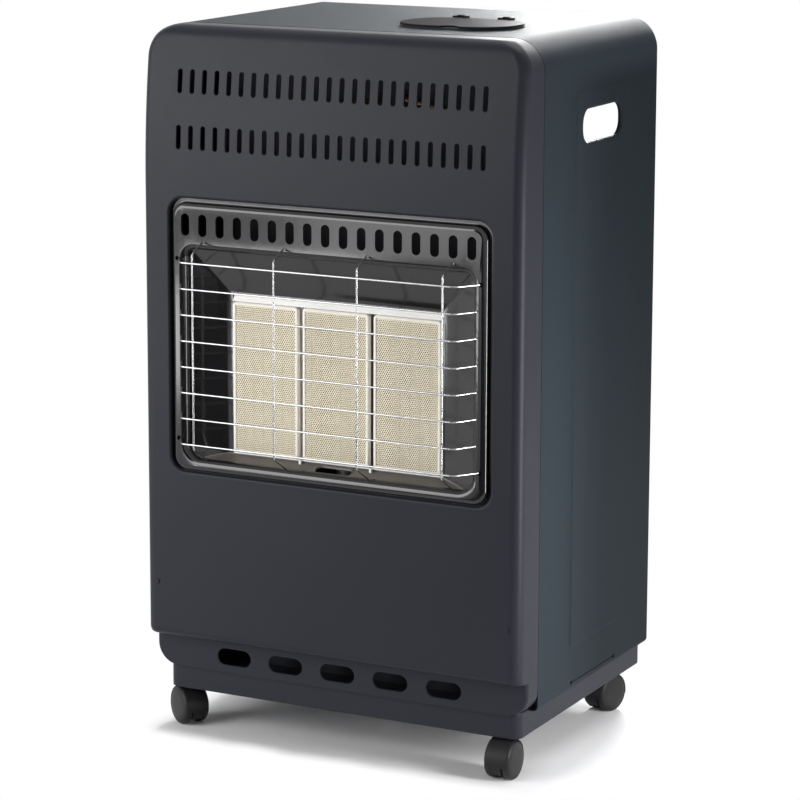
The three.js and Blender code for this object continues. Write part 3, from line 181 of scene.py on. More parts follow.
# ---- Floor and light
# A pale seamless floor in a white room. A large softbox stands to the left with two small ones
# below it, another hangs above, one behind lights the top and a strip lights the right side.
# Three black cards stand where the polished enamel and the painted faces would mirror the room.
def aim_at(thing, place, target):
    """Stands a lamp or a card at one place, facing another."""
    thing.location = place
    thing.rotation_euler = (Vector(target) - Vector(place)).to_track_quat("-Z", "Y").to_euler()


def stage_light(name, place, target, width, height, watts):
    """A rectangular softbox."""
    lamp = bpy.data.lights.new(name, "AREA")
    lamp.shape = "RECTANGLE"
    lamp.size = width
    lamp.size_y = height
    lamp.energy = watts
    holder = bpy.data.objects.new(name, lamp)
    scene.collection.objects.link(holder)
    aim_at(holder, place, target)


stage_light("softbox_left", (-1.19, -1.55, 0.91), (0, 0, 0.50), 1.35, 1.18, 32)
stage_light("softbox_left_low", (-1.275, -1.48, 0.085), (0, 0, 0.085), 1.125, 0.17, 5.5)
stage_light("softbox_left_edge", (-0.767, -1.903, 0.245), (0, 0, 0.245), 0.4, 0.15, 0.5)
stage_light("softbox_top", (0.3, 0.9, 2.9), (0, 0, 0.4), 2.4, 1.8, 45)
stage_light("strip_right", (0.76, -0.15, 0.30), (0.2, -0.05, 0.3), 0.12, 0.42, 5.5)
stage_light("softbox_behind", (-0.17, 1.35, 0.95), (0.0, 0.1, 0.72), 0.62, 0.55, 34)


def to_mesh(bm, name):
    """Turns a bmesh into a mesh and frees it."""
    mesh = bpy.data.meshes.new(name)
    bm.to_mesh(mesh)
    bm.free()
    return mesh


card_mesh = bmesh.new()
bmesh.ops.create_grid(card_mesh, size=1)
card_data = to_mesh(card_mesh, "black_card")
black = Finish("black_card", (0.01, 0.01, 0.01), 0.9, specular_ior_level=0.0)
black.tone(0.2, black.noise(20, 2))
card_data.materials.append(black.material)


def card(name, place, target, width, height):
    """A black card, out of sight of the photograph's camera."""
    made = bpy.data.objects.new(name, card_data)
    scene.collection.objects.link(made)
    aim_at(made, place, target)
    made.scale = (width / 2, height / 2, 1)


card("card_left", (-0.17, -2.40, 0.75), (0, 0, 0.42), 1.2, 1.6)
card("card_behind", (0.66, 1.50, 0.50), (0.2, 0.1, 0.4), 0.7, 1.0)
card("card_floor", (0.625, -1.80, 0.01), (0.625, -1.80, 1.0), 1.95, 2.4)

# The camera and the mirrors see the room pure white; every other ray gets ROOM_LIGHT.
ROOM_LIGHT = 0.22
world = bpy.data.worlds.new("studio")
scene.world = world
world.use_nodes = True
sky = world.node_tree.nodes["Background"]
sky.inputs["Color"].default_value = (1, 1, 1, 1)
ray = world.node_tree.nodes.new("ShaderNodeLightPath")
level = world.node_tree.nodes.new("ShaderNodeMath")
level.operation = "MAXIMUM"
level.inputs[1].default_value = ROOM_LIGHT
socket = ray.outputs["Is Camera Ray"]
for kind in ("Is Glossy Ray", "Is Transmission Ray"):
    seen = world.node_tree.nodes.new("ShaderNodeMath")
    seen.operation = "MAXIMUM"
    world.node_tree.links.new(socket, seen.inputs[0])
    world.node_tree.links.new(ray.outputs[kind], seen.inputs[1])
    socket = seen.outputs[0]
world.node_tree.links.new(socket, level.inputs[0])
world.node_tree.links.new(level.outputs[0], sky.inputs["Strength"])

# Outside a box round the heater's foot the floor turns to the white of the room, so that its
# shadow fades out as the photograph's does.
SHADOW_MIDDLE = 0.02
SHADOW_HALF_WIDTH = 0.215
SHADOW_HALF_DEPTH = 0.135
SHADOW_FADE = (0.01, 0.042)
floor_mesh = bmesh.new()
bmesh.ops.create_circle(floor_mesh, cap_ends=True, segments=96, radius=9)
floor_data = to_mesh(floor_mesh, "floor")
floor = bpy.data.objects.new("floor", floor_data)
scene.collection.objects.link(floor)
pale = Finish("pale_floor", (0.86, 0.86, 0.87), 0.6)
pale.tone(0.03, pale.noise(35, 4))
floor_data.materials.append(pale.material)
glow = pale.tree.nodes.new("ShaderNodeEmission")
glow.inputs["Strength"].default_value = 1.0
x, y, _ = pale.axes()
beside = ((x - SHADOW_MIDDLE).math("ABSOLUTE") - SHADOW_HALF_WIDTH).math("MAXIMUM", 0.0)
before = (y.math("ABSOLUTE") - SHADOW_HALF_DEPTH).math("MAXIMUM", 0.0)
distance = (beside * beside + before * before).math("SQRT")
far = (distance + pale.noise(14, 4) * 0.02).ramp(*SHADOW_FADE)
IS_CAMERA, IS_GLOSSY, IS_TRANSMISSION = 0, 3, 6
camera_ray, mirrored, through = [pale.node("ShaderNodeLightPath", {}, output=kind)
                                 for kind in (IS_CAMERA, IS_GLOSSY, IS_TRANSMISSION)]
mixer = pale.tree.nodes.new("ShaderNodeMixShader")
pale.plug(mixer.inputs[0], far * camera_ray.math("MAXIMUM", mirrored.math("MAXIMUM", through)))
pale.tree.links.new(pale.shader.outputs[0], mixer.inputs[1])
pale.tree.links.new(glow.outputs[0], mixer.inputs[2])
pale.tree.links.new(mixer.outputs[0], pale.tree.nodes["Material Output"].inputs["Surface"])


# ---- Front cover
# One deep-drawn dish of 1.2 mm sheet steel, powder coated in charcoal. It leans back at the
# top, steps back to a band at the bottom, and its vents are pierced with a slight draw-in.
MM = 0.001
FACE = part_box("front_cover")[0][1] / MM
SHEET = 1.2
HALF = 210.0
TOP = 727.0
BOTTOM = 67.0
SEAM = 45.0
LEAN_FROM = 570.0
LEAN = 13.0
CORNER = 32.0
OPENING = (-178, 178, 278.5, 556.5)
OPENING_RADIUS = 16


def spread(count, half):
    """Evenly spaced places from -half to half."""
    return [half * (2 * i / (count - 1) - 1) for i in range(count)]


def oblong(box, radii, steps=8, grow=0.0):
    """Points round a rounded rectangle, grown on all sides; radii is (lower, upper) or one."""
    a0, a1, b0, b1 = box
    lower, upper = radii if isinstance(radii, tuple) else (radii, radii)
    corners = ((a1, b0, -90, lower), (a1, b1, 0, upper), (a0, b1, 90, upper), (a0, b0, 180, lower))
    points = []
    for a, b, start, radius in corners:
        radius = max(radius + grow, 0.05)
        inner_a = a + (grow - radius) * (1 if a == a1 else -1)
        inner_b = b + (grow - radius) * (1 if b == b1 else -1)
        for step in range(steps + 1):
            angle = radians(start + 90 * step / steps)
            points.append((inner_a + radius * cos(angle), inner_b + radius * sin(angle)))
    return points


def skin(bm, rings, closed=True, caps=True):
    """Lays a surface over rings of points; each ring has the same count of points."""
    count = len(rings[0])
    columns = count if closed else count - 1
    grid = bmesh.ops.create_grid(bm, x_segments=columns, y_segments=len(rings) - 1, size=1)
    for vert in grid["verts"]:
        column = round((vert.co.x + 1) / 2 * columns)
        row = round((vert.co.y + 1) / 2 * (len(rings) - 1))
        vert.co = rings[row][column % count]
    bmesh.ops.remove_doubles(bm, verts=grid["verts"], dist=1e-4)
    if caps:
        verts = [v for v in grid["verts"] if v.is_valid]
        rims = {edge for v in verts for edge in v.link_edges if edge.is_boundary}
        bmesh.ops.holes_fill(bm, edges=list(rims))


def in_front(points, y):
    """A ring seen from the front, at one depth."""
    return [(a, y, b) for a, b in points]


def in_plan(points, z):
    """A ring seen from above, at one height."""
    return [(a, b, z) for a, b in points]


def drum(bm, spot, radius, depth, segments, upper=None):
    """A cylinder round a matrix's z axis, or a cone when its upper radius is given."""
    bmesh.ops.create_cone(bm, cap_ends=True, segments=segments, radius1=radius,
                          radius2=radius if upper is None else upper, depth=depth, matrix=spot)


def settle(bm, name, wall=0.0, outward=False, holes=None, rounding=0.0, sharp=35, metres=False):
    """Makes an object of a bmesh in millimetres, with its wall, its holes and its edges."""
    bmesh.ops.recalc_face_normals(bm, faces=bm.faces)
    if not metres:
        to_frame = Matrix.Scale(MM, 4) @ Matrix.Translation((0, FACE, 0))
        bmesh.ops.transform(bm, matrix=to_frame, verts=bm.verts)
    piece = bpy.data.objects.new(name, to_mesh(bm, name))
    scene.collection.objects.link(piece)
    if wall:
        shell = piece.modifiers.new("wall", "SOLIDIFY")
        shell.thickness = wall * MM
        shell.offset = 1 if outward else -1
        shell.use_even_offset = True
    if holes:
        punch = piece.modifiers.new("holes", "BOOLEAN")
        punch.object = holes
        punch.solver = "EXACT"
        punch.use_self = True
    if rounding:
        edge = piece.modifiers.new("edges", "BEVEL")
        edge.width = rounding * MM
        edge.segments = 2
        edge.limit_method = "ANGLE"
        edge.angle_limit = radians(sharp)
        edge.use_clamp_overlap = True
    depsgraph = bpy.context.evaluated_depsgraph_get()
    baked = bpy.data.meshes.new_from_object(piece.evaluated_get(depsgraph))
    piece.modifiers.clear()
    piece.data = baked
    baked.shade_smooth()
    baked.set_sharp_from_angle(angle=radians(sharp))
    if holes or rounding:
        even = piece.modifiers.new("even", "WEIGHTED_NORMAL")
        even.keep_sharp = True
        even.weight = 90
    if holes:
        bpy.data.objects.remove(holes)
    return piece


def fit(piece, body, finish, slot, *nodes):
    """Puts a finish on a piece and lets it ride on a body in place of its CAD nodes."""
    piece.data.materials.clear()
    piece.data.materials.append(finish.material)
    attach(piece, body)
    if nodes:
        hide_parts(*nodes)


def lean(z):
    """How far the face lies back at one height."""
    return LEAN * ((z - LEAN_FROM) / (TOP - LEAN_FROM)) ** 2 if z > LEAN_FROM else 0.0


def cover_ring(z, half, front, edge):
    """One level line of the cover: rear edge, rounded corner, face, corner, rear edge."""
    left = [(-half + edge * (1 - cos(a)), front + edge * (1 - sin(a)), z)
            for a in (radians(9 * i) for i in range(11))]
    flat = [(x, front, z) for x in spread(17, half - edge)[1:-1]]
    right = [(-x, y, z) for x, y, _ in reversed(left)]
    return [(-half, SEAM, z), *left, *flat, *right, (half, SEAM, z)]


BAND_Y = 21.0
BAND_CORNER = 22.0
BAND_TURN_IN = 7.0
BAND_TURN_BACK = 9.0
CHIN = 103.0
CHIN_ROUND = 9.0
FACE_EDGE = 11.0
BAND_EDGE = 4.0
TOP_ROUND = 12.0
FACE_LEVELS = (150, 210, 270, 330, 390, 450, 510, 570)
TOP_ANGLES = (8, 16, 24, 32, 40, 47, 54, 60, 65, 70, 74, 78, 81, 84, 87, 90)

cover_rings = [cover_ring(BOTTOM, HALF - BAND_CORNER - BAND_TURN_IN, BAND_Y + BAND_TURN_BACK,
                          BAND_EDGE)]
for angle in (radians(10 * i) for i in range(10)):
    inset = BAND_CORNER * (1 - sin(angle))
    height = BOTTOM + BAND_CORNER * (1 - cos(angle))
    cover_rings.append(cover_ring(height, HALF - inset, BAND_Y, BAND_EDGE))
for drop, forward, wider in ((2.5, 0.0, 0.0), (0.7, 0.7, 1.0), (0.0, 2.5, 2.0)):
    cover_rings.append(cover_ring(CHIN - drop, HALF, BAND_Y - forward, BAND_EDGE + wider))
for angle in (radians(10 * i) for i in range(10)):
    height = CHIN + CHIN_ROUND * (1 - cos(angle))
    cover_rings.append(cover_ring(height, HALF, CHIN_ROUND * (1 - sin(angle)), FACE_EDGE))
for height in (*FACE_LEVELS, *[LEAN_FROM + 12.5 * i for i in range(1, 11)]):
    cover_rings.append(cover_ring(height, HALF, lean(height), FACE_EDGE))
for angle in map(radians, TOP_ANGLES):
    height = TOP - CORNER * (1 - sin(angle))
    rise = max(0.0, height - (TOP - TOP_ROUND))
    roll = TOP_ROUND - sqrt(max(0.0, TOP_ROUND ** 2 - rise ** 2))
    half = HALF - CORNER * (1 - cos(angle))
    cover_rings.append(cover_ring(height, half, lean(height) + roll, FACE_EDGE))
cover_rings.append([(x, SEAM, TOP) for x, _, _ in cover_rings[-1]])
cover = bmesh.new()
skin(cover, cover_rings, closed=False, caps=False)

VENT_ROWS = (672.3, 617.0)
VENT_SPREAD = 167.3
VENT_RADIUS = 2.2
VENT_HALF = 11.7
VENT_DRAW = ((-3.0, 1.2), (-0.3, 0.9), (0.3, 0.3), (0.8, 0.0), (5.0, 0.0))
SLOT_SPREAD = 119.0
SLOT_HALF = 19.0
SLOT_RADIUS = 8.2
SLOT_LEVELS = (75.2, 91.8)
SLOT_DRAW = ((-3.0, 1.4), (-0.3, 1.0), (0.3, 0.4), (0.9, 0.0), (5.0, 0.0))
MOUTH_EDGE = 2.8
vents = bmesh.new()
for z in VENT_ROWS:
    for x in spread(25, VENT_SPREAD):
        outline = (x - VENT_RADIUS, x + VENT_RADIUS, z - VENT_HALF, z + VENT_HALF)
        skin(vents, [[(a, lean(b) + depth, b)
                      for a, b in oblong(outline, VENT_RADIUS - 0.01, 5, grow)]
                     for depth, grow in VENT_DRAW])
for x in spread(5, SLOT_SPREAD):
    outline = (x - SLOT_HALF, x + SLOT_HALF, *SLOT_LEVELS)
    skin(vents, [in_front(oblong(outline, SLOT_RADIUS, 7, grow), BAND_Y + depth)
                 for depth, grow in SLOT_DRAW])
skin(vents, [in_front(oblong(OPENING, OPENING_RADIUS, 12, MOUTH_EDGE), y) for y in (-3, 4)])
vent_tool = settle(vents, "vent_tool")
cover = settle(cover, "front_cover_shell", wall=SHEET, holes=vent_tool)
# The wall's thickness puts one point beside the chin past the cover's width; it goes back.
for point in cover.data.vertices:
    point.co.x = max(-HALF * MM, min(point.co.x, HALF * MM))

# The opening's edge is rolled inwards and stops short of the enamelled surround.
ROLL = 3.0
LIP_DEPTH = 6.5
lip = bmesh.new()
outer_line = [(ROLL, 0.0)] + [(ROLL * (1 - sin(a)), ROLL * (1 - cos(a)))
                              for a in (radians(15 * i) for i in range(1, 7))] + [(0.0, LIP_DEPTH)]
inner_line = [(grow + SHEET, depth) for grow, depth in reversed(outer_line[3:])]
inner_line.append((ROLL, SHEET))
skin(lip, [in_front(oblong(OPENING, OPENING_RADIUS, 12, grow), depth)
           for grow, depth in outer_line + inner_line + outer_line[:1]], caps=False)
lip = settle(lip, "front_cover_lip")

charcoal = Finish("charcoal_paint", (0.017, 0.018, 0.025), 0.5, specular_ior_level=0.15)
charcoal.tone(0.10, charcoal.noise(9, 3))
charcoal.feed("Roughness", charcoal.noise(60, 3) * 0.08 + 0.41)
charcoal.relief(charcoal.noise(1400, 2) * 0.6 + charcoal.noise(320, 1) * 0.4, 0.00004)
fit(cover, "cabinet", charcoal, "charcoal_paint", "front_cover")
fit(lip, "cabinet", charcoal, "charcoal_paint")


# ---- Cabinet wrap
# Both sides and the top are one sheet bent over 34 mm corners, with a fine textured powder
# coat. Each side has a raised pressing, and a hand hole with a rolled rim.
WRAP_HALF = 209.0
WRAP_CORNER = 32.0
WRAP_FRONT = 48.0
WRAP_REAR = 326.0
FOOT = 5.0
FOOT_EDGE = 190.0
PRESSING = (122.0, 248.0, 112.0, 669.0)
PRESSING_RISE = 1.0
PRESSING_SLOPE = 2.6
SLOPE_STEPS = [PRESSING_SLOPE * i / 6 for i in range(7)]
REAR_ROUND = 3.0
REAR_TURN_IN = 13.0
HAND_HOLE = (139.0, 232.5, 618.0, 650.5)
HAND_RADIUS = 14.0
HAND_RIM_DEPTH = 4.5
FOOT_NOTCHES = (128.0, 234.0)
OVAL_DEPTH = 94.0
OVAL_RADIUS = 42.0


def ease(value, low, high):
    """0 below low, 1 above high, smooth in between."""
    t = min(max((value - low) / (high - low), 0.0), 1.0)
    return t * t * (3 - 2 * t)


def pressing(y, z):
    """How far the side panel stands proud at one place."""
    y0, y1, z0, z1 = PRESSING
    across = ease(y, y0, y0 + PRESSING_SLOPE) * (1 - ease(y, y1 - PRESSING_SLOPE, y1))
    along = ease(z, z0, z0 + PRESSING_SLOPE) * (1 - ease(z, z1 - PRESSING_SLOPE, z1))
    return PRESSING_RISE * across * along


def wrap_ring(y, inset=0.0):
    """One cross-section of the wrap, from its left foot over the top to its right foot."""
    half = WRAP_HALF - inset
    foot = [(-half + FOOT * (1 - sin(a)), BOTTOM + FOOT * (1 - cos(a)))
            for a in (radians(15 * i) for i in range(7))]
    z0, z1 = PRESSING[2:]
    levels = [90, *[z0 + s for s in SLOPE_STEPS], *[z0 + (z1 - z0) * i / 12 for i in range(1, 12)],
              *[z1 - s for s in reversed(SLOPE_STEPS)], 682]
    side = [(-half - (pressing(y, z) if inset == 0 else 0), z) for z in levels]
    bend = [(-half + WRAP_CORNER * (1 - cos(a)), TOP - inset - WRAP_CORNER * (1 - sin(a)))
            for a in (radians(6 * i) for i in range(16))]
    left = [(-FOOT_EDGE, BOTTOM), *foot, *side, *bend]
    crown = [(x, TOP - inset) for x in spread(9, half - WRAP_CORNER)[1:-1]]
    return [(a, y, b) for a, b in [*left, *crown, *[(-x, z) for x, z in reversed(left)]]]


y0, y1 = PRESSING[:2]
stations = [WRAP_FRONT, 70, 100, *[y0 + s for s in SLOPE_STEPS], 154, 185, 216,
            *[y1 - s for s in reversed(SLOPE_STEPS)], 285, 305, WRAP_REAR - REAR_ROUND]
wrap_rings = [wrap_ring(y) for y in stations]
for angle in (radians(30 * i) for i in range(1, 4)):
    wrap_rings.append(wrap_ring(WRAP_REAR - REAR_ROUND * (1 - sin(angle)),
                                REAR_ROUND * (1 - cos(angle))))
wrap_rings.append(wrap_ring(WRAP_REAR, REAR_TURN_IN))
wrap = bmesh.new()
skin(wrap, wrap_rings, closed=False, caps=False)

bezel_low, bezel_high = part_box("control_bezel")
OVAL_FRONT = bezel_low.y / MM - FACE
OVAL = (bezel_low.x / MM, bezel_high.x / MM, OVAL_FRONT, OVAL_FRONT + OVAL_DEPTH)
openings = bmesh.new()
for side in (-1, 1):
    cuts = [oblong(HAND_HOLE, HAND_RADIUS, 10, ROLL - 0.2)]
    cuts += [oblong((y - 2.0, y + 2.0, 73.0, 77.0), 0.8, 3) for y in FOOT_NOTCHES]
    cuts.append(oblong((*FOOT_NOTCHES, 74.7, 75.5), 0.2, 1))
    for cut in cuts:
        skin(openings, [[(side * x, a, b) for a, b in cut] for x in (206.0, 212.0)])
skin(openings, [in_plan(oblong(OVAL, OVAL_RADIUS, 14, -3.0), z) for z in (720, 730)])
wrap_tool = settle(openings, "wrap_tool")
wrap = settle(wrap, "cabinet_shell", wall=SHEET, holes=wrap_tool)

proud = WRAP_HALF + PRESSING_RISE
line = outer_line[:-1] + [(0.0, HAND_RIM_DEPTH)]
back = [(grow + SHEET, depth) for grow, depth in reversed(line[3:])] + [(ROLL, SHEET)]
rims = bmesh.new()
for side in (-1, 1):
    skin(rims, [[(side * (proud - depth), a, b)
                 for a, b in oblong(HAND_HOLE, HAND_RADIUS, 10, grow)]
                for grow, depth in line + back + line[:1]], caps=False)
rims = settle(rims, "hand_hole_rims")

textured = Finish("textured_charcoal_paint", (0.0135, 0.0188, 0.0238), 0.55, specular_ior_level=0.06)
speckle = textured.noise(2600, 3)
_, y, z = textured.axes()
# Painted shade: the sides' colour is darker towards the back, and the top is painted as light as the
# sides' front.
painted_rear_shade = y.ramp(-0.08, 0.06) * (1 - z.ramp(0.67, 0.70))
clouds = speckle.ramp(0.35, 0.7) * 0.16 + textured.noise(7, 3) * 0.12
textured.tone(0.45, clouds + (1 - painted_rear_shade) * 0.70)
textured.feed("Roughness", textured.noise(900, 2) * 0.16 + 0.46)
textured.relief(speckle + textured.noise(700, 2) * 0.5, 0.00012)
fit(wrap, "cabinet", textured, "charcoal_paint", "cabinet_wrap")
fit(rims, "cabinet", textured, "charcoal_paint")


# ---- Base tray
# A drawn steel tray with a rolled hem at its lower edge and a low platform for the gas cylinder.
# It carries the cabinet and the castors, whose stems come up through four holes.
low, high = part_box("base_tray")
TRAY = (low.x / MM, high.x / MM, low.y / MM - FACE, high.y / MM - FACE)
TRAY_TOP = high.z / MM
TRAY_LOW = low.z / MM
TRAY_RADIUS = 10
HEM = ((-2.4, 1.9), (-1.6, 0.6), (-0.8, 0.05), (-0.2, 0.4), (0.0, 1.2))
SHOULDER = ((0.0, 1.8), (-0.25, 0.9), (-0.8, 0.25), (-1.6, 0.0))
STEM_HOLE = 5.3
tray_rings = [in_plan(oblong(TRAY, TRAY_RADIUS, 10, grow), TRAY_LOW + rise) for grow, rise in HEM]
tray_rings += [in_plan(oblong(TRAY, TRAY_RADIUS, 10, grow), TRAY_TOP - drop)
               for grow, drop in SHOULDER]
tray = bmesh.new()
skin(tray, tray_rings, caps=False)
top_edge = [e for e in tray.edges if e.is_boundary and e.verts[0].co.z > TRAY_TOP - 1]
bmesh.ops.holes_fill(tray, edges=top_edge)
CASTORS = ("front_left", "front_right", "rear_left", "rear_right")
joints = {joint["name"]: joint for joint in frame["joints"]}
swivels = {name: Vector(joints["swivel_" + name]["pos_m"]) / MM for name in CASTORS}
stem_holes = bmesh.new()
for place in swivels.values():
    spot = Matrix.Translation((place.x, place.y - FACE, TRAY_TOP))
    drum(stem_holes, spot, STEM_HOLE, 20, 24)
tray = settle(tray, "base_tray_shell", wall=1.5, holes=settle(stem_holes, "stem_tool"))
fit(tray, "cabinet", charcoal, "charcoal_paint", "base_tray")
PLATFORM = (-145.0, 145.0, 95.0, 300.0)
platform = bmesh.new()
skin(platform, [in_plan(oblong(PLATFORM, 15, 8, grow), TRAY_TOP + rise)
                for grow, rise in ((0.0, 0.02), (-0.4, 0.3), (-1.6, 1.7), (-2.2, 2.0))])
fit(settle(platform, "tray_platform"), "cabinet", charcoal, "charcoal_paint")


# ---- Rear cover and heat shield
# The rear cover is a shallow pan with a finger grip that hooks on behind; the shield between the
# burner and the cylinder is charcoal, painted shade for the dark behind the vents and slots.
# Both keep their own pressed shapes.
def restore(node, finish, slot, body="cabinet", rounding=0.35):
    """The CAD node again, its facets merged, its edges rounded and its curves smooth."""
    bm = bmesh.new()
    bm.from_mesh(frame["nodes"][node].data)
    bmesh.ops.remove_doubles(bm, verts=bm.verts, dist=1e-6)
    bmesh.ops.dissolve_limit(bm, angle_limit=radians(1.5), verts=bm.verts, edges=bm.edges)
    piece = settle(bm, node + "_piece", rounding=rounding, sharp=32, metres=True)
    fit(piece, body, finish, slot, node)


restore("rear_cover", charcoal, "charcoal_paint", "rear_cover")
# The shield's charcoal is painted shade: it shows as the dark behind the vents and slots.
restore("heat_shield", charcoal, "charcoal_paint")

zinc = Finish("zinc_plated_steel", (0.52, 0.53, 0.55), 0.32, 0.9)
zinc.tone(0.10, zinc.noise(250, 3))
zinc.feed("Roughness", zinc.noise(900, 3, (1, 1, 6)) * 0.2 + 0.22)
zinc.relief(zinc.noise(1600, 2), 0.00002)
for screw in ("cover_screw_left", "cover_screw_right"):
    restore(screw, charcoal, "zinc_steel", rounding=0.3)


# ---- Burner surround
# A pressed frame in glossy black vitreous enamel, clamped behind the cover's lip and nearly
# flush with it, with 17 drawn slots along its top and four holes that take the guard's hooks.
SURROUND = (-172.5, 172.5, 282.0, 551.0)
WINDOW = (-160.5, 160.5, 291.2, 507.5)
SURROUND_RADIUS = 13
WINDOW_RADII = (17, 11)
SURROUND_FRONT = -1.0
OUTER_ROUND = 4.0
INNER_ROUND = 5.0
FLANGE = ((13.0, 6.8), (2.4, 6.8), (1.0, 6.4), (0.3, 5.6), (0.0, 4.4))
surround_rings = [in_front(oblong(SURROUND, SURROUND_RADIUS, 12, grow), y) for grow, y in FLANGE]
for angle in (radians(15 * i) for i in range(7)):
    line = oblong(SURROUND, SURROUND_RADIUS, 12, -OUTER_ROUND * (1 - cos(angle)))
    surround_rings.append(in_front(line, SURROUND_FRONT + OUTER_ROUND * (1 - sin(angle))))
for angle in (radians(15 * i) for i in range(7)):
    line = oblong(WINDOW, WINDOW_RADII, 12, INNER_ROUND * (1 - sin(angle)))
    surround_rings.append(in_front(line, SURROUND_FRONT + INNER_ROUND * (1 - cos(angle))))
surround_rings.append(in_front(oblong(WINDOW, WINDOW_RADII, 12), 4.6))
surround = bmesh.new()
skin(surround, surround_rings, caps=False)
cooling = bmesh.new()
COOLING_SPREAD = 158.0
COOLING_HALF = 3.3
COOLING_LEVELS = (521.0, 540.5)
COOLING_DRAW = ((-3.0, 1.5), (-0.3, 1.3), (0.2, 0.9), (0.5, 0.5), (1.0, 0.12), (1.6, 0.0),
                (6.0, 0.0))
for x in spread(17, COOLING_SPREAD):
    outline = (x - COOLING_HALF, x + COOLING_HALF, *COOLING_LEVELS)
    skin(cooling, [in_front(oblong(outline, COOLING_HALF - 0.01, 7, grow), SURROUND_FRONT + depth)
                   for depth, grow in COOLING_DRAW])
HOOK_X = 167.5
HOOK_ROWS = (313.1, 496.3)
HOOK_HOLE = 2.3
for x in (-HOOK_X, HOOK_X):
    for z in HOOK_ROWS:
        spot = Matrix.Translation((x, SURROUND_FRONT, z)) @ Matrix.Rotation(pi / 2, 4, "X")
        drum(cooling, spot, HOOK_HOLE, 8, 20)
slot_tool = settle(cooling, "slot_tool")
surround = settle(surround, "enamelled_surround", wall=1.8, holes=slot_tool, sharp=50)
enamel = Finish("black_enamel", (0.008, 0.008, 0.010), 0.07, ior=1.5)
enamel.tone(0.25, enamel.noise(40, 3))
enamel.feed("Roughness", enamel.noise(300, 3) * 0.05 + 0.09)
enamel.relief(enamel.noise(120, 2), 0.00003)
fit(surround, "cabinet", enamel, "black_enamel", "burner_surround")


# ---- Reflector
# Three walls in glossy black enamel slope from the surround's window back to the burner; the
# lower wall is plain heat-stained steel with an oval port for the pilot.
REFLECTOR_FRONT = (-161.7, 161.7, 291.2, 508.7)
REFLECTOR_REAR = (-124.6, 119.0, 297.3, 466.5)
MOUTH = 5.0
BACK = 20.6
FRAME = (-116.9, 116.9, 19.5, 33.0, 298.4, 461.6)
reflector_rings = []
for step in range(5):
    share = step / 4
    box = [front + (rear - front) * share for front, rear in zip(REFLECTOR_FRONT, REFLECTOR_REAR)]
    radii = (15 - 13.5 * share, 9 - 7.5 * share)
    reflector_rings.append(in_front(oblong(box, radii, 6), MOUTH + (BACK - MOUTH) * share))
frame_line = (FRAME[0] - 0.4, FRAME[1] + 0.4, FRAME[4] - 0.4, FRAME[5] + 0.4)
reflector_rings.append(in_front(oblong(frame_line, 0.5, 6), BACK + 0.01))
reflector = bmesh.new()
skin(reflector, reflector_rings, caps=False)
FLOOR_SLOPE = (REFLECTOR_REAR[2] - REFLECTOR_FRONT[2]) / (BACK - MOUTH)
PORT = (-19.0, 21.0, 6.0, 18.0)
PORT_RADIUS = 5.9
PORT_RIM = ((-0.3, -1.5), (-0.2, 0.1), (0.3, 0.5), (0.9, 0.4), (1.2, 0.05))
port = bmesh.new()
skin(port, [in_plan(oblong(PORT, PORT_RADIUS, 8), z) for z in (280, 300)])
port_tool = settle(port, "port_tool")
reflector = settle(reflector, "reflector_walls", wall=1.0, outward=True, holes=port_tool)
mirror_black = Finish("reflector_enamel", (0.010, 0.010, 0.011), 0.12, ior=1.55)
_, y, z = mirror_black.axes()
over_floor = z - (y - (MOUTH + FACE) * MM) * FLOOR_SLOPE
floor_level = REFLECTOR_FRONT[2]
bottom = 1 - over_floor.ramp((floor_level + 0.6) * MM, (floor_level + 1.4) * MM)
stain = mirror_black.blend(mirror_black.noise(60, 3), (0.07, 0.062, 0.052), (0.16, 0.15, 0.135))
mirror_black.feed("Base Color", mirror_black.blend(bottom, (0.012, 0.012, 0.013), stain))
mirror_black.feed("Roughness", mirror_black.noise(150, 3) * 0.06 + 0.08 + bottom * 0.25)
mirror_black.relief(mirror_black.noise(60, 2), 0.00006)
fit(reflector, "cabinet", mirror_black, "reflector_steel", "reflector_box")
port_rim = bmesh.new()
skin(port_rim, [[(a, b, floor_level + (b - MOUTH) * FLOOR_SLOPE + rise)
                 for a, b in oblong(PORT, PORT_RADIUS, 8, grow)]
                for grow, rise in PORT_RIM], caps=False)
fit(settle(port_rim, "port_rim", wall=0.3), "cabinet", mirror_black, "reflector_steel")


# ---- Burner
# Three perforated ceramic plaques with solid rims, cemented into a pale aluminised frame whose
# mullions are darker, the right one painted nearly black: painted shade.
# Behind each is a mixing pan with its tube, fed by a brass injector on the gas rail.
PLAQUE_NAMES = ("left", "centre", "right")
PLAQUE_LINES = [[v.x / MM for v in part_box("plaque_" + name)] for name in PLAQUE_NAMES]
PLAQUE_LOW = 299.8
PLAQUE_HIGH = 453.6
PLAQUE_FRONT = 18.0


def brick(bm, x0, x1, y0, y1, z0, z1):
    """A plain block; returns its corners so that they can be moved."""
    place = Matrix.Translation(((x0 + x1) / 2, (y0 + y1) / 2, (z0 + z1) / 2))
    size = Matrix.Diagonal((x1 - x0, y1 - y0, z1 - z0, 1))
    return bmesh.ops.create_cube(bm, size=1, matrix=place @ size)["verts"]


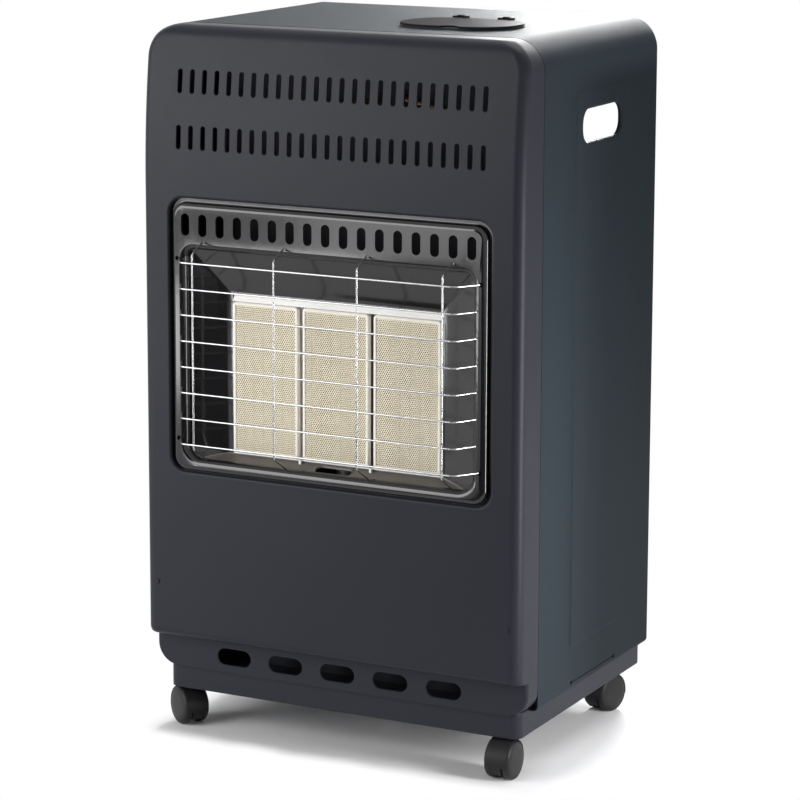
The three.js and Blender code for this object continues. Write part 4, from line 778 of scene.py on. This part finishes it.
x0, x1, y0, y1, z0, z1 = FRAME
PLAY = 0.2
HEAD_SLOPE = 4.0
MULLION_DEPTH = 3.0
TAB_HALF = 1.3
sill, head = PLAQUE_LOW - 0.3, PLAQUE_HIGH + 0.3
burner = bmesh.new()
for corner in brick(burner, x0, x1, y0, y1, head, z1):
    if corner.co.z > z1 - 1 and corner.co.y < y0 + 1:
        corner.co.y += HEAD_SLOPE
brick(burner, x0, x1, y0, y1, z0, sill)
brick(burner, x0, PLAQUE_LINES[0][0] - PLAY, y0, y1, sill, head)
brick(burner, PLAQUE_LINES[2][1] + PLAY, x1, y0, y1, sill, head)
mullions = bmesh.new()
for left, right in zip(PLAQUE_LINES, PLAQUE_LINES[1:]):
    brick(mullions, left[1] + PLAY, right[0] - PLAY, y0 + MULLION_DEPTH, y1, sill, head)
    middle = (left[1] + right[0]) / 2
    brick(burner, middle - TAB_HALF, middle + TAB_HALF, y0 - 3.0, y0 + 1.0, z0 - 3.0, z0 + 1.0)
mullions = settle(mullions, "burner_mullions", rounding=0.3)
burner = settle(burner, "burner_frame_body", rounding=0.5)
pale_steel = Finish("aluminised_steel", (0.80, 0.79, 0.77), 0.42, 0.15)
pale_steel.tone(0.05, pale_steel.noise(180, 4, (6, 1, 1)))
pale_steel.feed("Roughness", pale_steel.noise(500, 3) * 0.2 + 0.3)
pale_steel.relief(pale_steel.noise(900, 3), 0.00004)
fit(burner, "cabinet", pale_steel, "burner_steel", "burner_frame")
cement = Finish("fire_cement", (0.10, 0.085, 0.07), 0.9)
x = cement.axes()[0]
# Painted shade: the left mullion is light cement and the right one is painted nearly black, as the
# shade it lies in.
painted_mullion_shade = cement.blend(x.ramp(-0.02, 0.02), (0.34, 0.30, 0.31), (0.035, 0.030, 0.026))
cement.feed("Base Color", cement.blend(cement.noise(700, 3) * 0.3, painted_mullion_shade, (0.05, 0.04, 0.035)))
cement.relief(cement.noise(900, 3), 0.0002)
fit(mullions, "cabinet", cement, "burner_steel")

RIM = 3.1
PLAQUE_RADIUS = 3.9
ceramic = Finish("perforated_ceramic", (0.80, 0.72, 0.54), 0.85)
x, _, z = ceramic.axes()
PITCH = 2.3 * MM
ROW = 1.95 * MM
GROOVE_PITCH = 10.9 * MM


def lattice(shift):
    """The squared distance, in pitches, to the nearest hole of one of two staggered grids."""
    across = (x / PITCH + shift).math("FRACT") - 0.5
    up = ((z / (2 * ROW) + shift).math("FRACT") - 0.5) * (2 * ROW / PITCH)
    return across * across + up * up


nearest = lattice(0.0).math("MINIMUM", lattice(0.5))
hole = 1 - nearest.math("SQRT").ramp(0.20, 0.33)
margin = RIM + 0.3
field = 0
for low, high in PLAQUE_LINES:
    inside = (x > (low + margin) * MM) * (x < (high - margin) * MM)
    field = inside + field
field = field * (z > (PLAQUE_LOW + margin) * MM) * (z < (PLAQUE_HIGH - margin) * MM)
hole = hole * field
groove = (x / GROOVE_PITCH).math("FRACT")
groove = (1 - (groove - 0.5).math("ABSOLUTE").ramp(0.0, 0.06)) * field
clay = ceramic.blend(ceramic.noise(260, 3), (0.80, 0.71, 0.52), (0.92, 0.86, 0.70))
rim_clay = ceramic.blend(ceramic.noise(260, 3), (0.84, 0.80, 0.71), (0.93, 0.90, 0.83))
surface = ceramic.blend(field, rim_clay, clay)
surface = ceramic.blend(groove * 0.35, surface, (0.50, 0.40, 0.24))
# Painted shade: the holes and the grooves are coloured dark brown, as the shade inside them.
ceramic.feed("Base Color", ceramic.blend(hole, surface, (0.13, 0.08, 0.035)))
ceramic.relief(ceramic.noise(1500, 3) * 0.15 + (1 - hole), 0.0006)
front = PLAQUE_FRONT
profile = ((0.0, FRAME[3]), (0.0, front + 1.3), (-0.35, front + 0.4), (-1.1, front),
           (-RIM + 0.5, front), (-RIM, front + 0.2), (-RIM - 0.4, front + 0.8))
for name, (low, high) in zip(PLAQUE_NAMES, PLAQUE_LINES):
    outline = (low, high, PLAQUE_LOW, PLAQUE_HIGH)
    plaque = bmesh.new()
    skin(plaque, [in_front(oblong(outline, PLAQUE_RADIUS, 6, grow), y) for grow, y in profile])
    plaque = settle(plaque, "ceramic_" + name, sharp=50)
    fit(plaque, "cabinet", ceramic, "cream_ceramic", "plaque_" + name)

galvanised = Finish("galvanised_steel", (0.44, 0.45, 0.46), 0.38, 0.85)
galvanised.tone(0.16, galvanised.cells(160) * 0.12)
galvanised.feed("Roughness", galvanised.noise(220, 3) * 0.25 + 0.27)
galvanised.relief(galvanised.noise(500, 3), 0.00003)
brass = Finish("machined_brass", (0.62, 0.42, 0.17), 0.28, 1.0)
brass.tone(0.14, brass.noise(300, 3))
brass.feed("Roughness", brass.noise(1800, 2, (1, 1, 8)) * 0.22 + 0.18)
brass.relief(brass.noise(2400, 2), 0.00002)
for name in PLAQUE_NAMES:
    restore("burner_plenum_" + name, galvanised, "galvanised_steel")
    restore("injector_" + name, brass, "brass", rounding=0.2)
restore("gas_rail", zinc, "zinc_steel")

# The copper is coloured a very dark brown.
copper = Finish("very_dark_copper", (0.13, 0.075, 0.055), 0.45, 1.0)
copper.tone(0.2, copper.noise(90, 4))
copper.feed("Roughness", copper.noise(600, 3) * 0.25 + 0.35)
copper.relief(copper.noise(1500, 2), 0.00002)
glazed = Finish("glazed_insulator", (0.82, 0.80, 0.74), 0.22)
glazed.tone(0.04, glazed.noise(400, 2))
glazed.relief(glazed.noise(900, 2), 0.00002)
restore("pilot_bracket", zinc, "zinc_steel", rounding=0.2)
restore("pilot_burner", brass, "brass", rounding=0.2)
restore("spark_electrode", glazed, "white_ceramic", rounding=0.15)
restore("thermocouple", copper, "copper", rounding=0.15)


# ---- Wire guard
# Chromed steel wires, resistance welded: eight level ones in front of four upright ones.
# The outer level wires hook into the surround, and the others rest against it.
WIRE = 0.9
low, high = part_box("guard_grille")
GUARD_FRONT = low.y / MM - FACE + WIRE
REST = SURROUND_FRONT - WIRE - 0.3
LEVELS = [HOOK_ROWS[0] + (HOOK_ROWS[1] - HOOK_ROWS[0]) * i / 7 for i in range(8)]
LEVEL_HALF = 151
UPRIGHT_SPREAD = 137.7


def rod(bm, route, radius, bend, sides=14):
    """A round wire or pipe along straight runs, bent at each corner over a short curve."""
    points = [Vector(p) for p in route]
    path = [points[0]]
    for before, corner, after in zip(points, points[1:], points[2:]):
        reach_in = min(bend, (before - corner).length * 0.49)
        reach_out = min(bend, (after - corner).length * 0.49)
        enter = corner + (before - corner).normalized() * reach_in
        leave = corner + (after - corner).normalized() * reach_out
        for step in range(9):
            t = step / 8
            path.append(enter * (1 - t) ** 2 + corner * 2 * t * (1 - t) + leave * t * t)
    path.append(points[-1])
    across = (path[1] - path[0]).orthogonal().normalized()
    rings = []
    for index, spot in enumerate(path):
        ahead = path[min(index + 1, len(path) - 1)] - path[max(index - 1, 0)]
        ahead.normalize()
        across = (across - ahead * across.dot(ahead)).normalized()
        up = ahead.cross(across)
        turns = [2 * pi * i / sides for i in range(sides)]
        rings.append([spot + across * (radius * cos(a)) + up * (radius * sin(a)) for a in turns])
    skin(bm, rings)


guard = bmesh.new()
for row, z in enumerate(LEVELS):
    route = [(-LEVEL_HALF, GUARD_FRONT, z), (LEVEL_HALF, GUARD_FRONT, z)]
    if row in (0, len(LEVELS) - 1):
        ends = [(-HOOK_X, 0, z), (-HOOK_X + 1.5, REST, z)]
    else:
        ends = [(-HOOK_X + 4, REST, z)]
    route = ends + route + [(-x, y, z) for x, y, _ in reversed(ends)]
    rod(guard, route, WIRE, 4.0)
upright = GUARD_FRONT + WIRE * 1.75
for x in spread(4, UPRIGHT_SPREAD):
    route = [(x, 0.5, 292.9), (x, upright, 308.2), (x, upright, 505.0), (x, REST, 515.5),
             (x + 4.5, REST + 0.8, 512.0)]
    rod(guard, route, WIRE * 1.05, 2.5)
guard = settle(guard, "guard_wires", sharp=60)
chrome = Finish("chromed_wire", (0.40, 0.40, 0.41), 0.2, 1.0)
chrome.tone(0.05, chrome.noise(200, 3))
chrome.feed("Roughness", chrome.noise(500, 3) * 0.12 + 0.15)
chrome.relief(chrome.noise(700, 2), 0.00003)
fit(guard, "cabinet", chrome, "chrome_wire", "guard_grille")


# ---- Control lid and bezel
# An oval lid in black plastic closes the control well; it turns on two pins held by the
# bezel's ears, and has a half-round notch for a finger.
plastic = Finish("black_plastic", (0.016, 0.016, 0.017), 0.42, specular_ior_level=0.12)
plastic.tone(0.15, plastic.noise(30, 2))
plastic.feed("Roughness", plastic.noise(700, 2) * 0.14 + 0.36)
plastic.relief(plastic.cells(1500), 0.00005)
LID_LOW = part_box("control_lid")[0].z / MM
LID_TOP = LID_LOW + 2.7
LID_EDGE = ((0.0, -0.9), (0.25, -0.5), (1.7, -0.4), (2.3, -0.6), (2.6, -1.1), (2.7, -1.9))
FINGER_NOTCH = 9.5
KNUCKLE_PIN = 2.5
lid = bmesh.new()
skin(lid, [in_plan(oblong(OVAL, OVAL_RADIUS, 16, grow), LID_LOW + rise) for rise, grow in LID_EDGE])
LID_MIDDLE = (OVAL[0] + OVAL[1]) / 2
HINGE = Vector(joints["lid_hinge"]["pos_m"]) / MM
lid_tool = bmesh.new()
drum(lid_tool, Matrix.Translation((LID_MIDDLE + 8, OVAL[2] - 1.5, LID_LOW)), FINGER_NOTCH, 12, 40)
KNUCKLES = (LID_MIDDLE - 25, LID_MIDDLE + 25)
for x in KNUCKLES:
    brick(lid_tool, x - 7.7, x + 7.7, OVAL[3] - 4.6, OVAL[3] + 2, LID_LOW - 1, LID_TOP + 1)
lid = settle(lid, "lid_plate", holes=settle(lid_tool, "notch_tool"))
hinge_leaf = bmesh.new()
for x in KNUCKLES:
    brick(hinge_leaf, x - 4.5, x + 4.5, OVAL[3] - 8, HINGE.y - FACE - 1.5, LID_LOW + 0.1,
          LID_TOP - 0.1)
    spot = Matrix.Translation((x, HINGE.y - FACE, HINGE.z)) @ Matrix.Rotation(pi / 2, 4, "Y")
    drum(hinge_leaf, spot, KNUCKLE_PIN, 9, 24)
hinge_leaf = settle(hinge_leaf, "lid_knuckles", rounding=0.3)
matt = Finish("matt_black_plastic", (0.018, 0.018, 0.020), 0.4, specular_ior_level=0.003)
matt.tone(0.15, matt.noise(30, 2))
matt.relief(matt.cells(1500), 0.00005)
fit(lid, "lid", matt, "black_plastic", "control_lid")
fit(hinge_leaf, "lid", matt, "black_plastic")

WELL_FLOOR = bezel_low.z / MM + 1.5
BEZEL_LINE = ((0.0, 727.3), (0.0, 728.3), (-0.3, 728.8), (-0.9, 729.0), (-5.4, 729.0),
              (-6.2, 728.7), (-6.5, 728.0), (-6.5, WELL_FLOOR + 1.5), (-6.9, WELL_FLOOR + 0.4),
              (-8.0, WELL_FLOOR))
bezel = bmesh.new()
skin(bezel, [in_plan(oblong(OVAL, OVAL_RADIUS, 16, grow), z) for grow, z in BEZEL_LINE], caps=False)
floor_edge = [e for e in bezel.edges if e.is_boundary and e.verts[0].co.z < WELL_FLOOR + 1]
bmesh.ops.holes_fill(bezel, edges=floor_edge)
knob_low, knob_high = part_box("control_knob")
KNOB_X = (knob_low.x + knob_high.x) / 2 / MM
KNOB_Y = (knob_low.y + knob_high.y) / 2 / MM - FACE
button_low, button_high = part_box("piezo_button")
BUTTON_X = (button_low.x + button_high.x) / 2 / MM
well_tool = bmesh.new()
for x, radius in ((KNOB_X, 8.0), (BUTTON_X, 7.3)):
    drum(well_tool, Matrix.Translation((x, KNOB_Y, WELL_FLOOR)), radius, 20, 32)
bezel = settle(bezel, "bezel_well", wall=1.4, holes=settle(well_tool, "well_tool"))
fit(bezel, "cabinet", plastic, "black_plastic", "control_bezel")
ears = bmesh.new()
for x in KNUCKLES:
    for side in (-1, 1):
        near, far = sorted((x + side * 4.8, x + side * 7.2))
        brick(ears, near, far, OVAL[3] - 4, HINGE.y - FACE + 3, 727.4, HINGE.z + 2.1)
fit(settle(ears, "bezel_ears", rounding=0.5), "cabinet", plastic, "black_plastic")
for pin in ("lid_pin_left", "lid_pin_right"):
    restore(pin, zinc, "zinc_steel", rounding=0.2)


# ---- Knob and igniter button
# The knob is turned by a raised bar with a white pointer, pushes in against its spring, and
# carries the valve's spindle. The igniter's button is a plain plunger beside it.
KNOB_LOW = knob_low.z / MM
SKIRT = 12
BAR_HALF_WIDTH = 4.5
BAR_HALF_LENGTH = 19.2


def soften(bm, edges, width):
    """Rounds edges over a width."""
    bmesh.ops.bevel(bm, geom=list(edges), offset=width, offset_type="OFFSET", affect="EDGES",
                    segments=4, profile=0.5, material=-1)


knob = bmesh.new()
drum(knob, Matrix.Translation((KNOB_X, KNOB_Y, KNOB_LOW + SKIRT / 2)), 20.9, SKIRT, 72, 19.9)
soften(knob, [e for e in knob.edges if min(v.co.z for v in e.verts) > KNOB_LOW + SKIRT - 1], 1.6)
grip = brick(knob, KNOB_X - BAR_HALF_WIDTH, KNOB_X + BAR_HALF_WIDTH, KNOB_Y - BAR_HALF_LENGTH,
             KNOB_Y + BAR_HALF_LENGTH, KNOB_LOW + 10, KNOB_LOW + 22)
soften(knob, {e for v in grip for e in v.link_edges if e.calc_length() > 5}, 2.2)
knob = settle(knob, "knob_body")
fit(knob, "knob", plastic, "black_plastic", "control_knob")
marks = Finish("white_print", (0.8, 0.8, 0.78), 0.5)
marks.tone(0.05, marks.noise(600, 2))
pointer = bmesh.new()
brick(pointer, KNOB_X - 0.8, KNOB_X + 0.8, KNOB_Y - 16, KNOB_Y - 3, KNOB_LOW + 21.5,
      KNOB_LOW + 21.98)
fit(settle(pointer, "knob_pointer", rounding=0.1), "knob", marks, "white_ceramic")
restore("valve_spindle", brass, "brass", "knob", 0.2)
restore("push_collar", zinc, "zinc_steel", "knob_push", 0.3)
dark_plastic = Finish("dark_grey_plastic", (0.018, 0.018, 0.019), 0.4, specular_ior_level=0.15)
dark_plastic.tone(0.12, dark_plastic.noise(60, 3))
dark_plastic.feed("Roughness", dark_plastic.noise(500, 3) * 0.15 + 0.33)
dark_plastic.relief(dark_plastic.cells(1200), 0.00004)
restore("piezo_button", dark_plastic, "castor_tread", "igniter_button", 0.6)
restore("piezo_igniter", plastic, "black_plastic", rounding=0.4)
restore("valve_bracket", zinc, "zinc_steel", rounding=0.25)
restore("gas_valve", brass, "brass", rounding=0.6)
restore("inlet_nozzle", brass, "brass", rounding=0.2)


# ---- Pipes and spark lead
# Copper pipes run from the valve through the heat shield to the gas rail and the pilot; the
# spark lead is sleeved in dark red silicone. Each passes the shield in a rubber grommet.
sleeve = Finish("silicone_sleeve", (0.16, 0.03, 0.025), 0.55)
sleeve.tone(0.12, sleeve.noise(150, 3))
sleeve.relief(sleeve.noise(1200, 2), 0.00003)
restore("gas_pipe", copper, "copper", rounding=0)
restore("pilot_pipe", copper, "copper", rounding=0)
restore("spark_lead", sleeve, "lead_sleeve", rounding=0)

SHIELD_Y = 64.6
GAS_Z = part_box("gas_valve")[0].z / MM + 12
LEAD_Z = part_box("piezo_igniter")[0].z / MM - 18
grommets = bmesh.new()
for x, z in ((KNOB_X, GAS_Z), (KNOB_X - 30, GAS_Z - 4), (BUTTON_X, LEAD_Z)):
    spot = Matrix.Translation((x, SHIELD_Y, z)) @ Matrix.Rotation(pi / 2, 4, "X")
    drum(grommets, spot, 8.6, 3.6, 32)
rubber = Finish("grommet_rubber", (0.012, 0.012, 0.012), 0.7, specular_ior_level=0.2)
rubber.tone(0.15, rubber.noise(200, 2))
rubber.relief(rubber.noise(900, 2), 0.00004)
fit(settle(grommets, "grommets", rounding=0.8), "cabinet", rubber, "black_plastic")


# ---- Castors
# Twin-wheel castors in black plastic: a hood over the treads with a web between the wheels, a
# stem that turns in the tray, and a steel axle behind the wheels' domed faces.
HALF_WIDTH = 14.0
WHEEL_RADIUS = 19.5
WHEEL_WIDTH = 8.6
TRAIL = 7.0
HOOD_RADIUS = WHEEL_RADIUS + 1.2
HOOD_HALF = HALF_WIDTH - 1.4
WEB_HALF = HALF_WIDTH - WHEEL_WIDTH - 0.3


def turned(bm, profile, middle, steps=64):
    """Spins a profile of (radius, place along the axle) round an axle along x."""
    verts = [bm.verts.new((along, middle.y + radius, middle.z)) for radius, along in profile]
    edges = [bm.edges.new(pair) for pair in zip(verts, verts[1:])]
    bmesh.ops.spin(bm, geom=verts + edges, cent=middle, axis=(1, 0, 0), angle=2 * pi, steps=steps,
                   use_merge=True, use_duplicate=False)
    bmesh.ops.remove_doubles(bm, verts=bm.verts, dist=1e-4)


axle_spot = Vector((0, -TRAIL, WHEEL_RADIUS))
hood = bmesh.new()
hood_edge = [(0, HOOD_HALF), (HOOD_RADIUS - 1.6, HOOD_HALF), (HOOD_RADIUS - 0.5, HOOD_HALF - 0.5),
             (HOOD_RADIUS, HOOD_HALF - 1.6)]
turned(hood, [(radius, -along) for radius, along in hood_edge] + hood_edge[::-1], axle_spot)
clearance = bmesh.new()
for side in (-1, 1):
    turned(clearance, [(0, side * WEB_HALF), (WHEEL_RADIUS + 0.5, side * WEB_HALF),
                       (WHEEL_RADIUS + 0.5, side * 20), (0, side * 20)], axle_spot)
    near, far = sorted((side * WEB_HALF, side * 20))
    brick(clearance, near, far, -40, 30, -5, 15.5)
brick(clearance, -WEB_HALF - 0.01, WEB_HALF + 0.01, -40, 30, -5, 7)


def cut_local(bm, tool, name):
    """Cuts a tool out of a castor part that is still in its own millimetres."""
    parts = []
    for source, part_name in ((bm, name), (tool, name + "_tool")):
        bmesh.ops.recalc_face_normals(source, faces=source.faces)
        part = bpy.data.objects.new(part_name, to_mesh(source, part_name))
        scene.collection.objects.link(part)
        parts.append(part)
    punch = parts[0].modifiers.new("holes", "BOOLEAN")
    punch.object = parts[1]
    punch.solver = "EXACT"
    punch.use_self = True
    depsgraph = bpy.context.evaluated_depsgraph_get()
    result = bmesh.new()
    result.from_mesh(bpy.data.meshes.new_from_object(parts[0].evaluated_get(depsgraph)))
    for part in parts:
        bpy.data.objects.remove(part)
    return result


hood = cut_local(hood, clearance, "hood")
# From below: the hood's boss, the collar under the tray and the stem.
for z0, z1, radius0, radius1 in ((39.9, 46.9, 8.5, 7.5), (62.3, 64.8, 9.0, 9.0),
                                 (40.0, 68.6, 5.0, 5.0)):
    drum(hood, Matrix.Translation((0, 0, (z0 + z1) / 2)), radius0, z1 - z0, 36, radius1)
tyre = bmesh.new()
outer = HALF_WIDTH
turned(tyre, [(0, outer - WHEEL_WIDTH), (WHEEL_RADIUS - 0.8, outer - WHEEL_WIDTH),
              (WHEEL_RADIUS, outer - WHEEL_WIDTH + 0.8), (WHEEL_RADIUS, outer - 2.6),
              (WHEEL_RADIUS - 0.7, outer - 1.3), (WHEEL_RADIUS - 1.9, outer - 0.55),
              (WHEEL_RADIUS - 2.3, outer - 0.95), (WHEEL_RADIUS - 2.9, outer - 0.6),
              (WHEEL_RADIUS - 9.0, outer - 0.2), (0, outer)], axle_spot)
for name, place in swivels.items():
    axle = Vector(joints["roll_" + name + "_left"]["axis"])
    stand = Matrix(((axle.x, -axle.y, 0, place.x), (axle.y, axle.x, 0, place.y),
                    (0, 0, 1, 0), (0, 0, 0, 1)))
    body = "castor_" + name
    part = hood.copy()
    bmesh.ops.transform(part, matrix=Matrix.Scale(MM, 4) @ stand, verts=part.verts)
    part = settle(part, "hood_" + name, rounding=0.35, sharp=40, metres=True)
    fit(part, body, plastic, "black_plastic", "castor_hood_" + name)
    restore("castor_axle_" + name, zinc, "zinc_steel", body, 0.2)
    for side, mirror in (("left", -1), ("right", 1)):
        part = tyre.copy()
        flip = Matrix.Diagonal((mirror, 1, 1, 1))
        bmesh.ops.transform(part, matrix=Matrix.Scale(MM, 4) @ stand @ flip, verts=part.verts)
        part = settle(part, f"tread_{name}_{side}", sharp=50, metres=True)
        fit(part, f"wheel_{name}_{side}", dark_plastic, "castor_tread", f"wheel_{name}_{side}")
hood.free()
tyre.free()
